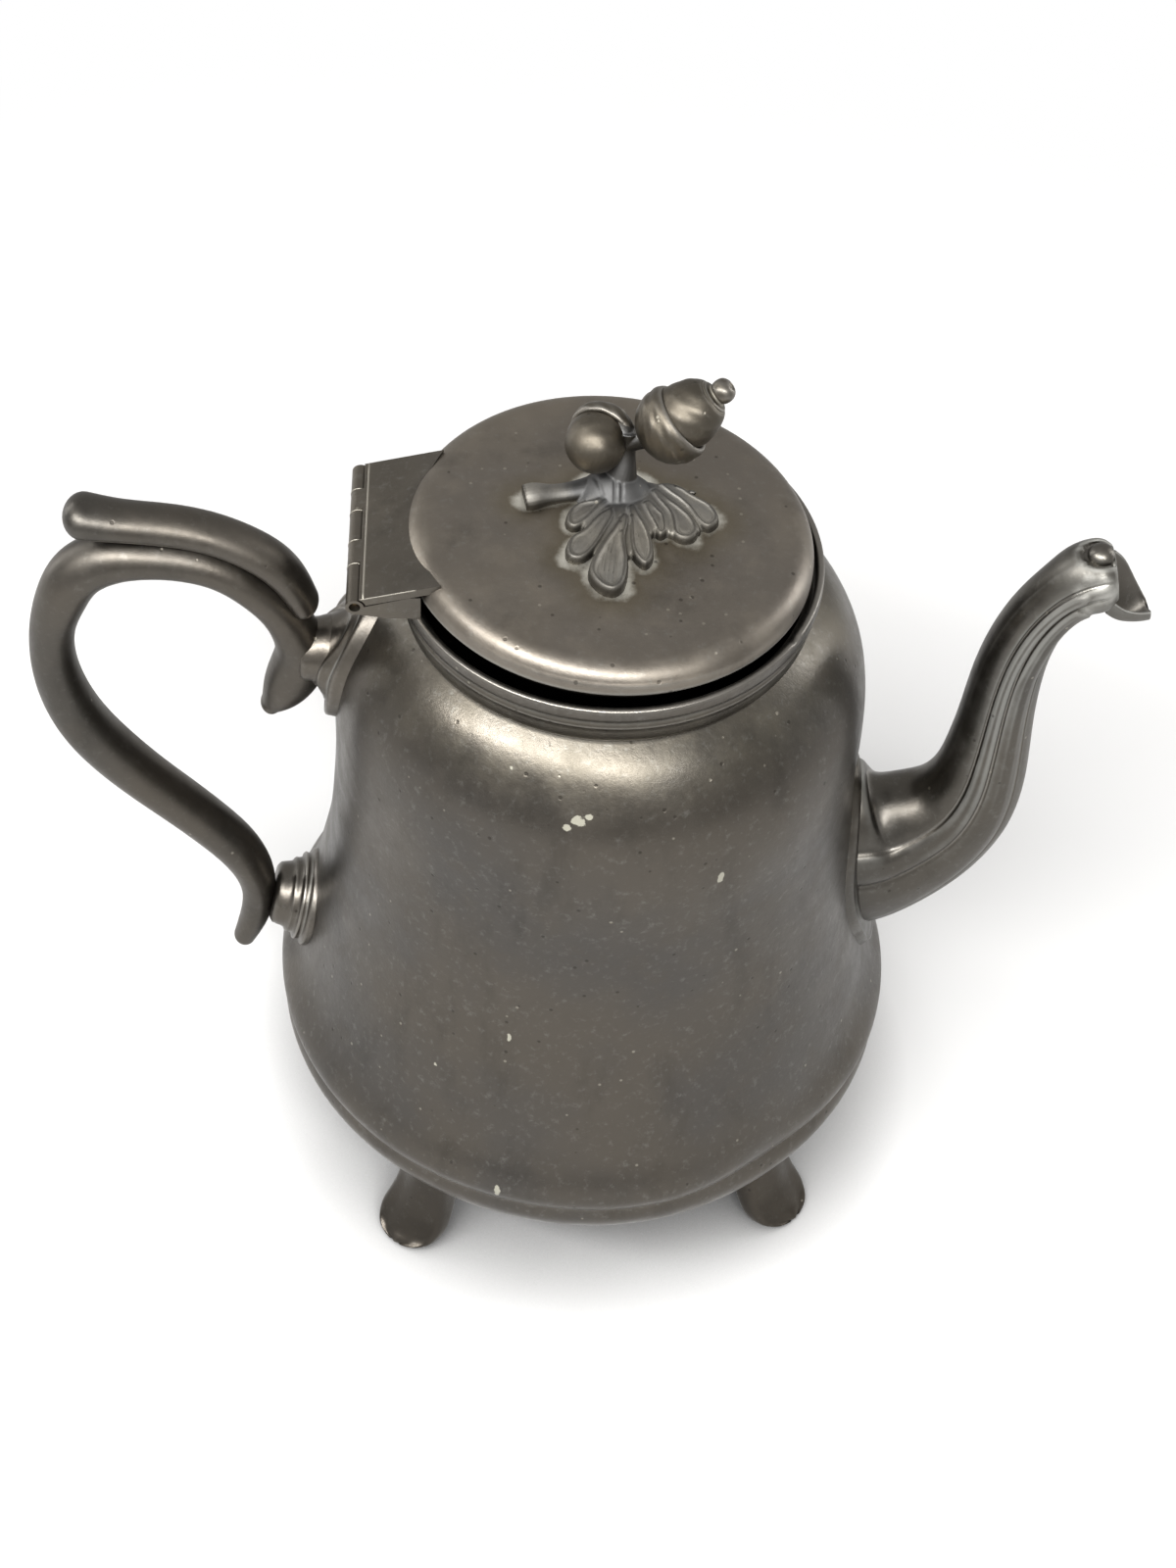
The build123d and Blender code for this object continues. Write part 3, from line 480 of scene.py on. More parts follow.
rods = []
for row, count in ((-2, 2), (-1, 3), (0, 2), (1, 3), (2, 2)):
    for i in range(count):
        place = (55.0, 6.6 * (i - (count - 1) / 2), 86.5 + 6.6 * row * sin(pi / 3))
        rods.append(strip(turned_on(place, (1, 0, 0), [(0, 1.9), (6, 1.9), (12, 1.9)], 20), start_cap=True, end_cap=True))
piece("body_shell_skin", *pierced(*strip(rings, closed_path=True), rods), body_mat, "pot", ("body_shell",), "body_pewter", reach=2.2)

outer = [tuple(p) for p in bowl_line]
inner = [(r, z) for r, z in inset(outer, 1.8)[::-1] if r > 30]
inner[0] = (outer[-1][0] - 1.6, SEAM_Z)
rings = lathe([(0.5, 9.35), (20, 9.3), (40, 9.12)] + outer + inner + [(30, 10.8), (0.5, 10.8)], 288, dented)
piece("base_bowl_skin", *strip(rings, start_cap=True, end_cap=True), body_mat, "pot", ("base_floor", "base_bowl"), "body_pewter",
      reach=2.2)


# Gallery: a rolled lip over a groove and a bead, with the ledge inside that the lid's rim sits over

def nicked(p, t):
    x, y, z = p
    angle = ((t + pi) % (2 * pi)) - pi
    drop = 0.7 * bell((angle - radians(-33)) / radians(1.3), 1.0) * smooth(180, 183, z)
    return (x, y, z - drop)


gallery = [
    (43.8, 172.5), (44.1, 173.0), (44.35, 174.2), (44.45, 175.6), (44.5, 176.6), (44.75, 177.1), (45.0, 177.35),
    (44.8, 177.75), (44.65, 178.2), (44.65, 178.9), (44.85, 179.4), (45.2, 179.65), (45.45, 180.0), (45.5, 180.8),
    (45.5, 182.2), (45.4, 182.65), (45.15, 182.93), (44.7, 183.0), (44.2, 182.95), (43.9, 182.7), (43.8, 182.2),
    (43.8, 180.6), (43.75, 179.75), (43.5, 179.6), (42.4, 179.6), (42.1, 179.5), (42.0, 179.2), (42.0, 176.0),
    (42.0, 172.5),
]
piece("gallery_ring_skin", *strip(lathe(gallery, 288, nicked), closed_path=True), body_mat, "pot", ("gallery_ring",),
      "body_pewter", reach=1.2)


# Lid plate

LID_LOW = 183.0 + 2.5 + sin(LID_TILT) * (53.2 - 0.4)
LID_TOP = LID_LOW + 6.0
LID_R, CROWN = 43.3, 0.9


def crown_height(x, y):
    r = min(hypot(x + 0.4, y) / (LID_R - 5.2), 1.0)
    return LID_TOP + CROWN * (1 - r * r)


def lid_shape(p, t):
    """Set off the body's axis towards the hinge, with faint dishing."""
    x, y, z = p
    r = hypot(x, y)
    sink = 0.12 * (1 + sin(2 * t + r / 9.0)) * smooth(5, 20, r) * (1 if z > LID_LOW + 3 else 0)
    return (x - 0.4, y, z - sink)


# Tongues of the leaves, seen from above: outline from the root round to the root, height at the tip and at the root,
# width of the rim, depth of the dish and of the veins
tongues = (
    (((-0.6, 3.3), (-3.1, 0.8), (-5.0, -1.6), (-6.9, -3.4), (-8.7, -4.1), (-9.9, -3.3), (-10.3, -1.3), (-9.7, 1.1),
      (-8.2, 2.9), (-6.1, 3.9), (-3.9, 4.3), (-1.8, 5.4)), 1.8, 3.0, 1.1, 0.45, 0.05),
    (((-0.6, 2.1), (-3.6, -0.2), (-5.7, -2.9), (-7.3, -5.0), (-9.2, -6.5), (-10.2, -8.6), (-10.4, -10.8), (-9.9, -12.5),
      (-8.3, -13.3), (-6.2, -12.6), (-4.6, -10.8), (-2.9, -7.9), (-1.4, -4.7), (0.1, -0.5)), 1.9, 2.9, 1.2, 0.5, 0.05),
    (((1.6, 0.6), (-0.8, -4.2), (-2.9, -8.0), (-4.6, -11.8), (-5.7, -15.2), (-5.6, -18.2), (-4.4, -20.3), (-2.6, -21.9),
      (-0.8, -22.3), (1.0, -21.1), (2.1, -18.3), (2.6, -14.7), (2.5, -10.5), (2.4, -6.3), (2.6, -0.2)), 2.6, 3.0, 1.5, 1.1, 0.16),
    (((2.2, 1.8), (2.7, -3.1), (2.8, -7.4), (3.3, -10.8), (4.6, -13.2), (6.0, -14.2), (7.3, -13.0), (8.0, -9.9),
      (7.7, -6.2), (6.6, -2.5), (5.1, 0.9), (3.9, 3.1)), 2.1, 3.0, 1.1, 0.45, 0.07),
    (((5.4, 3.4), (6.7, -0.1), (8.0, -3.2), (9.4, -5.4), (10.6, -4.7), (11.1, -2.1), (10.6, 0.8), (9.1, 2.7), (7.3, 4.7)),
     2.0, 2.8, 1.0, 0.4, 0.0),
    (((7.4, 7.3), (8.9, 4.4), (10.9, 1.3), (11.6, -2.1), (12.3, -5.0), (14.1, -6.0), (16.2, -5.5), (17.5, -3.4),
      (17.2, -0.5), (15.5, 2.3), (13.1, 4.7), (10.5, 7.2), (8.7, 8.6)), 1.8, 2.6, 1.2, 0.5, 0.06),
    (((8.7, 9.8), (11.1, 7.3), (13.9, 4.8), (16.1, 1.7), (17.8, -1.1), (19.6, -2.1), (21.3, -1.0), (22.2, 1.1),
      (21.5, 3.7), (19.6, 5.9), (17.1, 7.5), (14.7, 9.4), (11.9, 10.3)), 1.8, 2.6, 1.1, 0.5, 0.05),
)
# The blade that joins the tongues almost to their tips
blade = ((-1.8, 6.5), (-4.5, 2.5), (-6.6, -4.2), (-5.0, -6.5), (-4.2, -11.4), (0.0, -12.0), (3.2, -11.2), (5.0, -8.0),
         (7.8, -5.2), (9.5, -3.0), (11.9, -4.9), (14.5, -3.0), (17.6, -3.2), (15.5, 4.0), (12.0, 8.5), (6.0, 9.5))


def inside(outline, x, y):
    """How far points lie inside a closed outline, below 0 outside it."""
    line = spline(list(outline) + [outline[0]], 61)
    a, b = line[:-1], line[1:]
    px, py = np.ravel(x)[:, None], np.ravel(y)[:, None]
    run = b - a
    share = np.clip(((px - a[:, 0]) * run[:, 0] + (py - a[:, 1]) * run[:, 1]) / (run ** 2).sum(1), 0, 1)
    away = np.hypot(px - a[:, 0] - share * run[:, 0], py - a[:, 1] - share * run[:, 1]).min(1)
    level = np.where(run[:, 1] == 0, 1e-9, run[:, 1])
    crossed = ((a[:, 1] > py) != (b[:, 1] > py)) & (px < run[:, 0] * (py - a[:, 1]) / level + a[:, 0])
    return np.where(crossed.sum(1) % 2, away, -away).reshape(np.shape(x))


def tongue_height(x, y, tongue):
    """Heights over the lid of a dished tongue with a thick rolled rim; far below it outside the outline."""
    outline, tip_height, root_height, rim, dish, veins = tongue
    depth = inside(outline, x, y)
    root = np.array(outline[0])
    tip = max((np.array(p) for p in outline), key=lambda p: np.linalg.norm(p - root))
    length = np.linalg.norm(tip - root)
    way = (tip - root) / length
    along = ((x - root[0]) * way[0] + (y - root[1]) * way[1]) / length
    aside = (y - root[1]) * way[0] - (x - root[0]) * way[1]
    full = tip_height + (root_height - tip_height) * np.clip(1 - along, 0, 1) ** 1.2
    edge = np.clip(depth / 0.85, 0, 1)
    height = -0.5 + (full + 0.5) * np.sqrt(1 - (1 - edge) ** 2)
    flat = 0.75 * ease(rim * 0.6, rim * 1.7, depth) * ease(0.05, 0.35, along)
    height -= dish * flat - 0.25 * np.exp(-(aside / 1.3) ** 2) * flat * (veins < 0.1)
    height -= veins * (0.5 + 0.5 * np.cos(aside * 2 * pi / 0.95)) * ease(rim, rim * 1.6, depth)
    height -= 0.13 * np.exp(-((depth - rim * 1.35) / 0.28) ** 2) * ease(0.1, 0.4, along)
    return np.where(depth > -0.15, height, -99.0)


def off_foliage(x, y):
    """Distances on the lid from the outline of the leaves, the twig and the trunk's foot, below 0 inside them."""
    near = -np.max([inside(tongue[0], x, y) for tongue in tongues], axis=0)
    t = np.clip((-3.0 - x) / 15.6, 0.0, 1.0)
    twig = np.hypot(x + 3.0 + 15.6 * t, y - 9.5 + 4.4 * t) - 2.0
    return np.minimum(np.minimum(near, twig), np.hypot((x - 0.2) / 1.3, y - 8.4) - 6.6)


profile = [(0.15, LID_TOP + CROWN)]
profile += [(r, LID_TOP + CROWN * (1 - (r / 38.1) ** 2)) for r in np.linspace(0.6, 37.4, 60)]
profile += [(38.1 + 5.2 * sin(a), LID_TOP - 5.2 + 5.2 * cos(a)) for a in np.linspace(0.02, pi / 2, 18)]
profile += [(43.3, LID_LOW + 0.35), (43.15, LID_LOW + 0.08), (42.9, LID_LOW), (42.0, LID_LOW), (41.75, LID_LOW + 0.1)]
profile += [(38.1 + 3.6 * sin(a), LID_TOP - 5.2 + 3.6 * cos(a)) for a in np.linspace(pi / 2, 0, 10)]
profile += [(30, LID_TOP - 1.25), (15, LID_TOP - 0.95), (0.15, LID_TOP - 0.8)]
verts, faces = strip(lathe(profile, 256, lid_shape), start_cap=True, end_cap=True)
spots = np.array(verts)
marks = np.where(spots[:, 2] > LID_TOP - 0.5, off_foliage(spots[:, 0], spots[:, 1]), 30.0)
piece("lid_plate_skin", verts, faces, lid_mat, "lid", ("lid_plate",), "body_pewter", lid=True, reach=1.6, marks=marks)


# Spout

station_shares = (
    (-0.220, 0.000), (0.076, 0.017), (0.223, 0.041), (0.370, 0.095), (0.496, 0.172), (0.567, 0.274),
    (0.589, 0.394), (0.594, 0.523), (0.602, 0.649), (0.630, 0.760), (0.688, 0.856), (0.779, 0.934),
    (0.882, 0.980), (1.000, 1.000),
)
size_shares = (
    (1.000, 1.000), (1.000, 1.000), (0.760, 0.785), (0.567, 0.618), (0.376, 0.452), (0.225, 0.290),
    (0.135, 0.188), (0.071, 0.108), (0.036, 0.069), (0.008, 0.015), (-0.008, -0.016), (-0.005, -0.010),
    (0.010, 0.020), (0.000, 0.000),
)
ROOT_X, ROOT_Z, MOUTH_X, MOUTH_Z, MOUTH_R = 62.72, 86.5, 108.1, 179.4, 7.2
FLUTES = (62, 88, 136, 224, 272, 298)


def shell_radius(z):
    line = shell_line
    return float(np.interp(z, line[:, 1], line[:, 0]))


ROOT_X = shell_radius(ROOT_Z)
rows = [(ROOT_X + a * (MOUTH_X - ROOT_X), ROOT_Z + b * (MOUTH_Z - ROOT_Z), MOUTH_R + c * (25 - MOUTH_R),
         MOUTH_R + d * (15.4 - MOUTH_R)) for (a, b), (c, d) in zip(station_shares, size_shares)]
spout_line = spline(rows, 260)


def fluted(a, b, t, s, deep, wide):
    """Flutes with sharp grooves between; they fade out under the pouring lip."""
    angle = (t * 180 / pi - FLUTES[0]) % 360
    marks = [f - FLUTES[0] for f in FLUTES] + [360]
    for first, last in zip(marks, marks[1:]):
        if first <= angle <= last:
            u = (angle - first) / (last - first)
            break
    depth = (0.95 + 0.9 * smooth(0.35, 0.0, s)) * smooth(1.0, 0.955, s)
    cut = depth * (1 - min(1.0, sin(pi * u) * 1.15) ** 0.55)
    leaf_end = (0.955 if first == FLUTES[4] - FLUTES[0] else 0.935) - 0.02 * (2 * u - 1) ** 2
    leaf = 0.5 * (last - first < 60) * smooth(leaf_end + 0.004, leaf_end - 0.004, s) * smooth(0.7, 0.8, s) * smooth(0, 0.15, min(u, 1 - u))
    size = hypot(deep * cos(t), wide * sin(t))
    k = (size - cut + leaf) / size
    return a * k, b * k


def off_wall(ring, sink):
    """Points that would lie inside the pot's wall are moved out to lie within the wall."""
    out = []
    for x, y, z in ring:
        r = shell_radius(z) - sink
        out.append((sqrt(r * r - y * y), y, z) if hypot(x, y) < r and abs(y) < r else (x, y, z))
    return out


# The button near the mouth sits in a round recess pressed into the spout
BOSS = np.array((104.0, -0.5, 185.9))
BOSS_UP = np.array((-0.30, -0.18, 0.935))


def recessed(p):
    v = np.array(p) - BOSS
    along = v @ BOSS_UP
    away = sqrt(max(v @ v - along * along, 0.0))
    if along < -4:
        return p
    push = 1.5 * smooth(4.1, 3.4, away) - 0.15 * bell(away - 4.6, 0.5)
    return tuple(np.array(p) - BOSS_UP * push)


for i in range(40):
    spout_line[-1 - i, 2:] += 0.9 * bell(i - 9, 9)
    spout_line[-1 - i, 1] += 0.35 * bell(i - 6, 10)
for i in range(7):
    spout_line[-1 - i, 2:] -= 1.3 * (1 - sin(pi / 2 * i / 7)) ** 1.6
mouth_x, mouth_z, mouth_deep, mouth_wide = spout_line[-1]
turn = atan2(spout_line[-1][1] - spout_line[-2][1], spout_line[-1][0] - spout_line[-2][0])
rings = [off_wall(ring, 0.9) for ring in tube_rings(spout_line[:, :2], spout_line[:, 2], spout_line[:, 3], 180, fluted)]
rim = []
for along, shrink in ((0.2, 0.15), (0.3, 0.4), (0.2, 0.7), (-0.3, 0.85), (-1.2, 0.9)):
    centre = (mouth_x + along * cos(turn), mouth_z + along * sin(turn))
    behind = (centre[0] - cos(turn), centre[1] - sin(turn))
    rim.append(tube_rings([behind, centre], [mouth_deep - shrink] * 2, [mouth_wide - shrink] * 2, 180)[1])
rings = [[recessed(p) for p in ring] if i > 180 else ring for i, ring in enumerate(rings)] + rim
piece("spout_skin", *strip(rings), spout_mat, "pot", ("spout_root", "spout_stem", "spout_neck", "spout_mouth"),
      "cast_pewter", reach=2.4)
bore = tube_rings(spout_line[:, :2], spout_line[:, 2] - 2.35, spout_line[:, 3] - 2.35, 96)
bore = [off_wall(ring, 0.9) for ring in bore]
piece("spout_bore_skin", *strip(bore[::-1]), shaded_inner_mat, "pot", (), "cast_pewter")

dome = [(-2.2, 2.9), (-0.6, 3.0), (0.2, 2.95), (0.9, 2.7), (1.5, 2.25), (1.95, 1.6), (2.2, 0.9), (2.3, 0.15)]
rings = turned_on(BOSS - BOSS_UP * 0.9, BOSS_UP, dome, 48, roll=(0, 1, 0))
piece("spout_top_boss_skin", *strip(rings, end_cap=True), spout_mat, "pot", ("spout_top_boss",), "cast_pewter")

# The pouring lip: an open scoop rolled towards the front, its far rim high and its near rim low
far_rim = spline(((107.2, 1.2, 185.2), (109.9, 1.9, 182.3), (112.6, 2.5, 177.8), (115.2, 2.9, 172.9), (117.6, 2.4, 168.9)), 24)
near_rim = spline(((106.8, -6.1, 177.4), (109.6, -5.9, 174.6), (112.6, -5.0, 172.3), (115.4, -4.0, 171.0), (117.9, -2.7, 170.0)), 24)
near_foot = spline(((106.6, -5.4, 172.6), (109.5, -5.3, 170.5), (112.6, -4.6, 169.2), (115.4, -3.7, 168.4), (118.1, -2.4, 167.7)), 24)
rings = []
for i, (far, near, foot) in enumerate(zip(far_rim, near_rim, near_foot)):
    end = smooth(19, 23, i)
    floor = foot + np.array((0, 1.6, 0.9))
    deep = floor + (near - floor) * end * 0.6
    under = np.array((foot[0], far[1] * 0.3, min(foot[2] - 0.1, far[2] - 3.0)))
    back = far + np.array((0.3, 1.0, -0.6))
    line = [near + (0, -0.15, -0.35), near + (0, 0.1, 0.0), near + (0, 0.6, 0.1), near + (0, 1.05, -0.25),
            deep * 0.75 + near * 0.25 + (0, 0.5, 0), deep, deep * 0.7 + far * 0.3 + (0, 0.6, -0.8),
            deep * 0.35 + far * 0.65 + (0, 0.5, -0.7), far + (0, -0.55, -0.6), far + (0, -0.35, -0.05),
            far + (0, 0.15, 0.1), far + (0, 0.6, -0.15), back, back * 0.6 + under * 0.4 + (0, 1.0, 0),
            under, foot + (0, 0.4, -0.1), foot + (0, -0.1, 0.1), foot * 0.5 + near * 0.5 + (0, -0.35, 0)]
    rings.append([tuple(p) for p in line])
piece("spout_lip_skin", *strip(rings, start_cap=True, end_cap=True), spout_mat, "pot", ("spout_lip",), "cast_pewter",
      subsurf=2)

# The scalloped flange where the spout meets the body
rings = []
for rho in np.linspace(0.0, 1.0, 15):
    ring = []
    for k in range(180):
        t = 2 * pi * k / 180
        lobes = 1.3 * abs(cos(2.5 * t + 0.4)) ** 0.6
        grow = 4.2 + lobes * (0.45 + 0.55 * abs(sin(t)))
        h = (20.0 + rho * (5.0 + grow)) * cos(t) + 0.5
        w = (11.0 + rho * (4.4 + grow)) * sin(t)
        z = 86.5 + h
        thick = 1.5 * (1 - bell(rho - 1.0, 0.10) * 1.35) - 0.35 * bell(rho - 0.72, 0.07) + 0.2 * bell(rho - 0.86, 0.06)
        ring.append((sqrt(max((shell_radius(z) + thick) ** 2 - w * w, 1)), w, z))
    rings.append(ring)
piece("spout_root_flange_skin", *strip(rings), spout_mat, "pot", ("spout_root_flange",), "cast_pewter", reach=1.4)


# Handle

handle_shares = (
    (0.168, 0.607), (0.124, 0.641), (0.071, 0.693), (0.040, 0.749), (0.062, 0.808), (0.120, 0.869),
    (0.212, 0.925), (0.327, 0.971), (0.464, 0.995), (0.602, 1.000), (0.733, 0.990), (0.850, 0.956),
    (0.930, 0.891), (0.986, 0.806), (1.000, 0.715), (0.973, 0.621), (0.906, 0.530), (0.805, 0.448),
    (0.688, 0.373), (0.565, 0.303), (0.448, 0.233), (0.350, 0.163), (0.290, 0.089), (0.276, 0.015),
    (0.301, -0.058), (0.350, -0.130),
)
handle_sizes = (
    (0.50, 0.56), (0.92, 0.86), (1.20, 1.02), (1.18, 1.05), (1.02, 1.00), (0.92, 0.97),
    (0.90, 0.97), (0.92, 0.98), (0.96, 1.00), (1.00, 1.02), (1.10, 1.04), (1.15, 1.06),
    (1.11, 1.06), (0.99, 0.95), (1.00, 0.96), (1.08, 1.03), (1.13, 1.08), (1.13, 1.08),
    (1.09, 1.05), (1.07, 1.02), (1.05, 1.00), (1.01, 0.97), (0.92, 0.88), (0.80, 0.76),
    (0.70, 0.66), (0.54, 0.52),
)
thumb_shares = ((0.020, 0.886), (0.099, 0.966), (0.235, 1.025), (0.389, 1.060), (0.549, 1.075), (0.690, 1.082),
                (0.814, 1.092))
thumb_sizes = ((0.80, 0.90), (0.95, 1.00), (0.95, 0.98), (0.95, 0.96), (0.97, 0.96), (1.00, 0.98), (1.12, 1.06))


def handle_rows(places, sizes, deep, wide):
    return [(-64 - a * 56.5, 63.8 + b * 116.5, deep * c, wide * d) for (a, b), (c, d) in zip(places, sizes)]


def rounded_ends(line, first=True, last=True, steps=9):
    """Adds rings that close an end like half a ball."""
    rows = [tuple(r) for r in line]
    for at_start in (True, False):
        if (at_start and not first) or (not at_start and not last):
            continue
        end, beside = (rows[0], rows[1]) if at_start else (rows[-1], rows[-2])
        way = np.array(end[:2]) - np.array(beside[:2])
        way /= np.linalg.norm(way)
        extra = []
        for a in np.linspace(0, pi / 2, steps)[1:]:
            p = np.array(end[:2]) + way * end[2] * sin(a) * 0.95
            k = max(cos(a), 0.03)
            extra.append((p[0], p[1], end[2] * k, end[3] * k))
        rows = extra[::-1] + rows if at_start else rows + extra
    return np.array(rows)


line = rounded_ends(spline(handle_rows(handle_shares, handle_sizes, 5.0, 6.0), 170))
rings = tube_rings(line[:, :2], line[:, 2], line[:, 3], 64)
piece("handle_scroll_skin", *strip(rings, start_cap=True, end_cap=True), handle_mat, "pot", ("handle_scroll",),
      "handle_pewter", reach=1.0)
line = rounded_ends(spline(handle_rows(thumb_shares, thumb_sizes, 4.0, 5.4), 80))
rings = tube_rings(line[:, :2], line[:, 2], line[:, 3], 64)
piece("handle_thumb_leaf_skin", *strip(rings, start_cap=True, end_cap=True), handle_mat, "pot",
      ("handle_thumb_leaf",), "handle_pewter", reach=1.0)


# Sockets of the handle

def plate_ring(rho, count=96):
    """A ring of the upper socket's plate, which follows the body's wall; rho runs from its middle to its rim."""
    ring = []
    for k in range(count):
        a = 2 * pi * k / count
        h, w = 18.0 * rho * cos(a), 11.5 * rho * sin(a)
        z = 151.5 + h
        away = hypot(h, w)
        thick = 2.1 - 2.6 * smooth(0.955, 1.0, rho) + 0.35 * bell(rho - 0.90, 0.045) - 0.45 * bell(rho - 0.80, 0.05)
        thick += 0.40 * bell(rho - 0.70, 0.05) - 0.40 * bell(rho - 0.60, 0.05) + 3.2 * bell(max(away - 6.6, 0.0), 2.3)
        ring.append((-sqrt((shell_radius(z) + thick) ** 2 - w * w), w, z))
    return ring


rings = [plate_ring(rho) for rho in np.linspace(1.0, 0.05, 60)]
piece("upper_socket_plate_skin", *strip(rings, end_cap=True), cast_mat, "pot", ("upper_socket_plate",), "cast_pewter",
      reach=1.2)
neck = [(0.0, 8.2), (2.5, 8.1), (4.0, 7.7), (5.2, 7.3), (6.4, 7.1), (7.6, 7.2), (8.6, 6.9), (9.0, 6.0), (9.1, 3.0)]
rings = turned_on((-57.5, 0, 151.5), (-1, 0, 0.06), neck, 64, roll=(0, 1, 0))
piece("upper_socket_skin", *strip(rings), cast_mat, "pot", ("upper_socket",), "cast_pewter")
steps = [(-3.0, 12.0), (0.6, 12.05), (1.1, 11.9), (1.45, 11.5), (1.6, 10.9), (1.9, 10.55), (2.6, 10.6), (3.0, 10.75),
         (3.3, 10.5), (3.45, 9.9), (3.8, 9.3), (4.6, 9.1), (5.1, 9.15), (5.5, 8.8), (5.8, 8.2), (6.6, 7.9), (7.6, 7.7),
         (8.6, 7.4), (9.2, 6.6), (9.4, 5.0)]
rings = turned_on((-66.9, 0, 63.6), (-0.975, 0, 0.22), steps, 96, roll=(0, 1, 0))
piece("lower_socket_skin", *strip(rings, end_cap=True), cast_mat, "pot", ("lower_socket",), "cast_pewter", reach=1.2)


# Feet: front (x, z), back (x, z) and half width of each ring, x outwards from the body's axis

foot_rows = (
    (65.7, 23.0, 50.3, 23.0, 7.0), (66.2, 18.0, 52.0, 17.5, 7.1), (67.3, 13.3, 54.6, 12.0, 7.4), (68.6, 9.6, 57.0, 8.0, 8.0),
    (70.0, 6.9, 59.4, 4.6, 8.6), (71.3, 4.9, 61.6, 2.2, 8.8), (72.4, 3.4, 64.3, 0.3, 8.3), (73.4, 2.4, 68.5, 0.05, 6.9),
    (74.2, 1.6, 71.5, 0.02, 4.8), (74.6, 1.0, 73.5, 0.1, 2.0),
)
foot_rows = spline(foot_rows, 56)


def bowl_radius(z):
    return float(np.interp(z, bowl_line[:, 1], bowl_line[:, 0]))


def foot_rings(angle):
    rings = []
    for xf, zf, xb, zb, wide in foot_rows:
        ring = []
        for k in range(72):
            a = 2 * pi * k / 72
            u, v = sin(a), cos(a)
            share = 0.5 + 0.5 * (abs(v) ** 0.55 if v > 0 else -(abs(v) ** 0.8))
            dish = 0.0
            if v > 0:
                dish = 0.40 * bell(abs(u) - 0.52, 0.24) - 0.15 * bell(abs(u) - 0.88, 0.10) - 0.20 * bell(u, 0.18)
            x = xb + (xf - xb) * share
            z = zb + (zf - zb) * share
            lean = np.array((0.75, 0.66))
            x, z = x - dish * lean[0], z - dish * lean[1]
            y = wide * (abs(u) ** 0.92) * (1 if u > 0 else -1)
            z = max(z, 0.0)
            r = hypot(x, y)
            if z > 9.0 and r < bowl_radius(z) - 0.9:
                k2 = (bowl_radius(z) - 0.9) / r
                x, y = x * k2, y * k2
            ring.append((x * cos(angle) - y * sin(angle), x * sin(angle) + y * cos(angle), z))
        rings.append(ring)
    return rings


for name, degrees in (("foot_front_left", 232), ("foot_front_right", -43.5), ("foot_back_left", 128),
                      ("foot_back_right", 43.5)):
    piece(name + "_skin", *strip(foot_rings(radians(degrees)), end_cap=True), foot_mat, "pot", (name,), "cast_pewter",
          reach=0.5)


# Finial

def fused(parts, voxel, rounds):
    """Closed parts in millimetres joined into one skin and softened."""
    verts, faces = joined(*parts)
    mesh = bpy.data.meshes.new("join")
    mesh.from_pydata([tuple(p) for p in verts], [], [tuple(int(i) for i in f) for f in faces])
    made = bpy.data.objects.new("join", mesh)
    bpy.context.scene.collection.objects.link(made)
    remesh = made.modifiers.new("remesh", "REMESH")
    remesh.mode = "VOXEL"
    remesh.voxel_size = voxel
    soft = made.modifiers.new("soft", "SMOOTH")
    soft.iterations = rounds
    bpy.context.view_layer.update()
    ready = made.evaluated_get(bpy.context.evaluated_depsgraph_get()).to_mesh()
    verts = [tuple(v.co) for v in ready.vertices]
    faces = [tuple(f.vertices) for f in ready.polygons]
    bpy.data.objects.remove(made)
    bpy.data.meshes.remove(mesh)
    return verts, faces


def limb(rows, count=24, steps=30):
    """A closed round bar through (x, y, height over the lid's top, radius) rows."""
    line = spline(rows, steps)
    rings = []
    side = np.array((0.0, 0.0, 1.0))
    for i, (x, y, z, r) in enumerate(line):
        way = line[min(i + 1, steps - 1)][:3] - line[max(i - 1, 0)][:3]
        way /= np.linalg.norm(way)
        u = np.cross(side, way)
        if np.linalg.norm(u) < 0.05:
            u = np.cross((1.0, 0.0, 0.0), way)
        u /= np.linalg.norm(u)
        v = np.cross(way, u)
        centre = np.array((x, y, z + LID_TOP))
        rings.append([centre + (u * cos(2 * pi * k / count) + v * sin(2 * pi * k / count)) * r for k in range(count)])
    return strip(rings, start_cap=True, end_cap=True)


STEP = 0.22
nx, ny = int(38 / STEP), int(37 / STEP)
gx, gy = np.meshgrid(-13.5 + STEP * np.arange(nx), -23.5 + STEP * np.arange(ny), indexing="ij")
relief = np.max([tongue_height(gx, gy, tongue) for tongue in tongues], axis=0)
cone = 1 - ((gx - 0.4) / 9.0) ** 2 - ((gy - 8.0) / 7.2) ** 2
mound = 1.0 * np.sqrt(np.maximum(cone, 0)) + 5.0 * np.maximum(cone, 0) ** 1.25 - 0.2
mound -= 0.5 * np.exp(-((np.abs(gx - 0.7) - 0.75) / 0.28) ** 2) * ease(11.0, 8.0, gy)
mound -= 0.25 * np.exp(-((np.abs(gx + 3.2 + 0.35 * (gy - 6)) - 0.1) / 0.3) ** 2)
relief = np.maximum(relief, np.where(cone > 0, mound, -99.0))
depth = inside(blade, gx, gy)
web = -0.5 + np.sqrt(1 - (1 - np.clip(depth / 0.8, 0, 1)) ** 2) * (1.75 + 1.3 * np.clip(1 - np.hypot(gx - 2, gy - 5) / 16, 0, 1))
relief = np.maximum(relief, np.where(depth > -0.1, web, -99.0))
verts, faces, index = [], [], {}
live = relief > -50
for i in range(nx):
    for j in range(ny):
        if live[i, j]:
            x, y = gx[i, j], gy[i, j]
            ground = crown_height(x, y)
            index[i, j] = len(verts)
            verts += [(x, y, ground + relief[i, j]), (x, y, ground - 1.2)]
border = {}
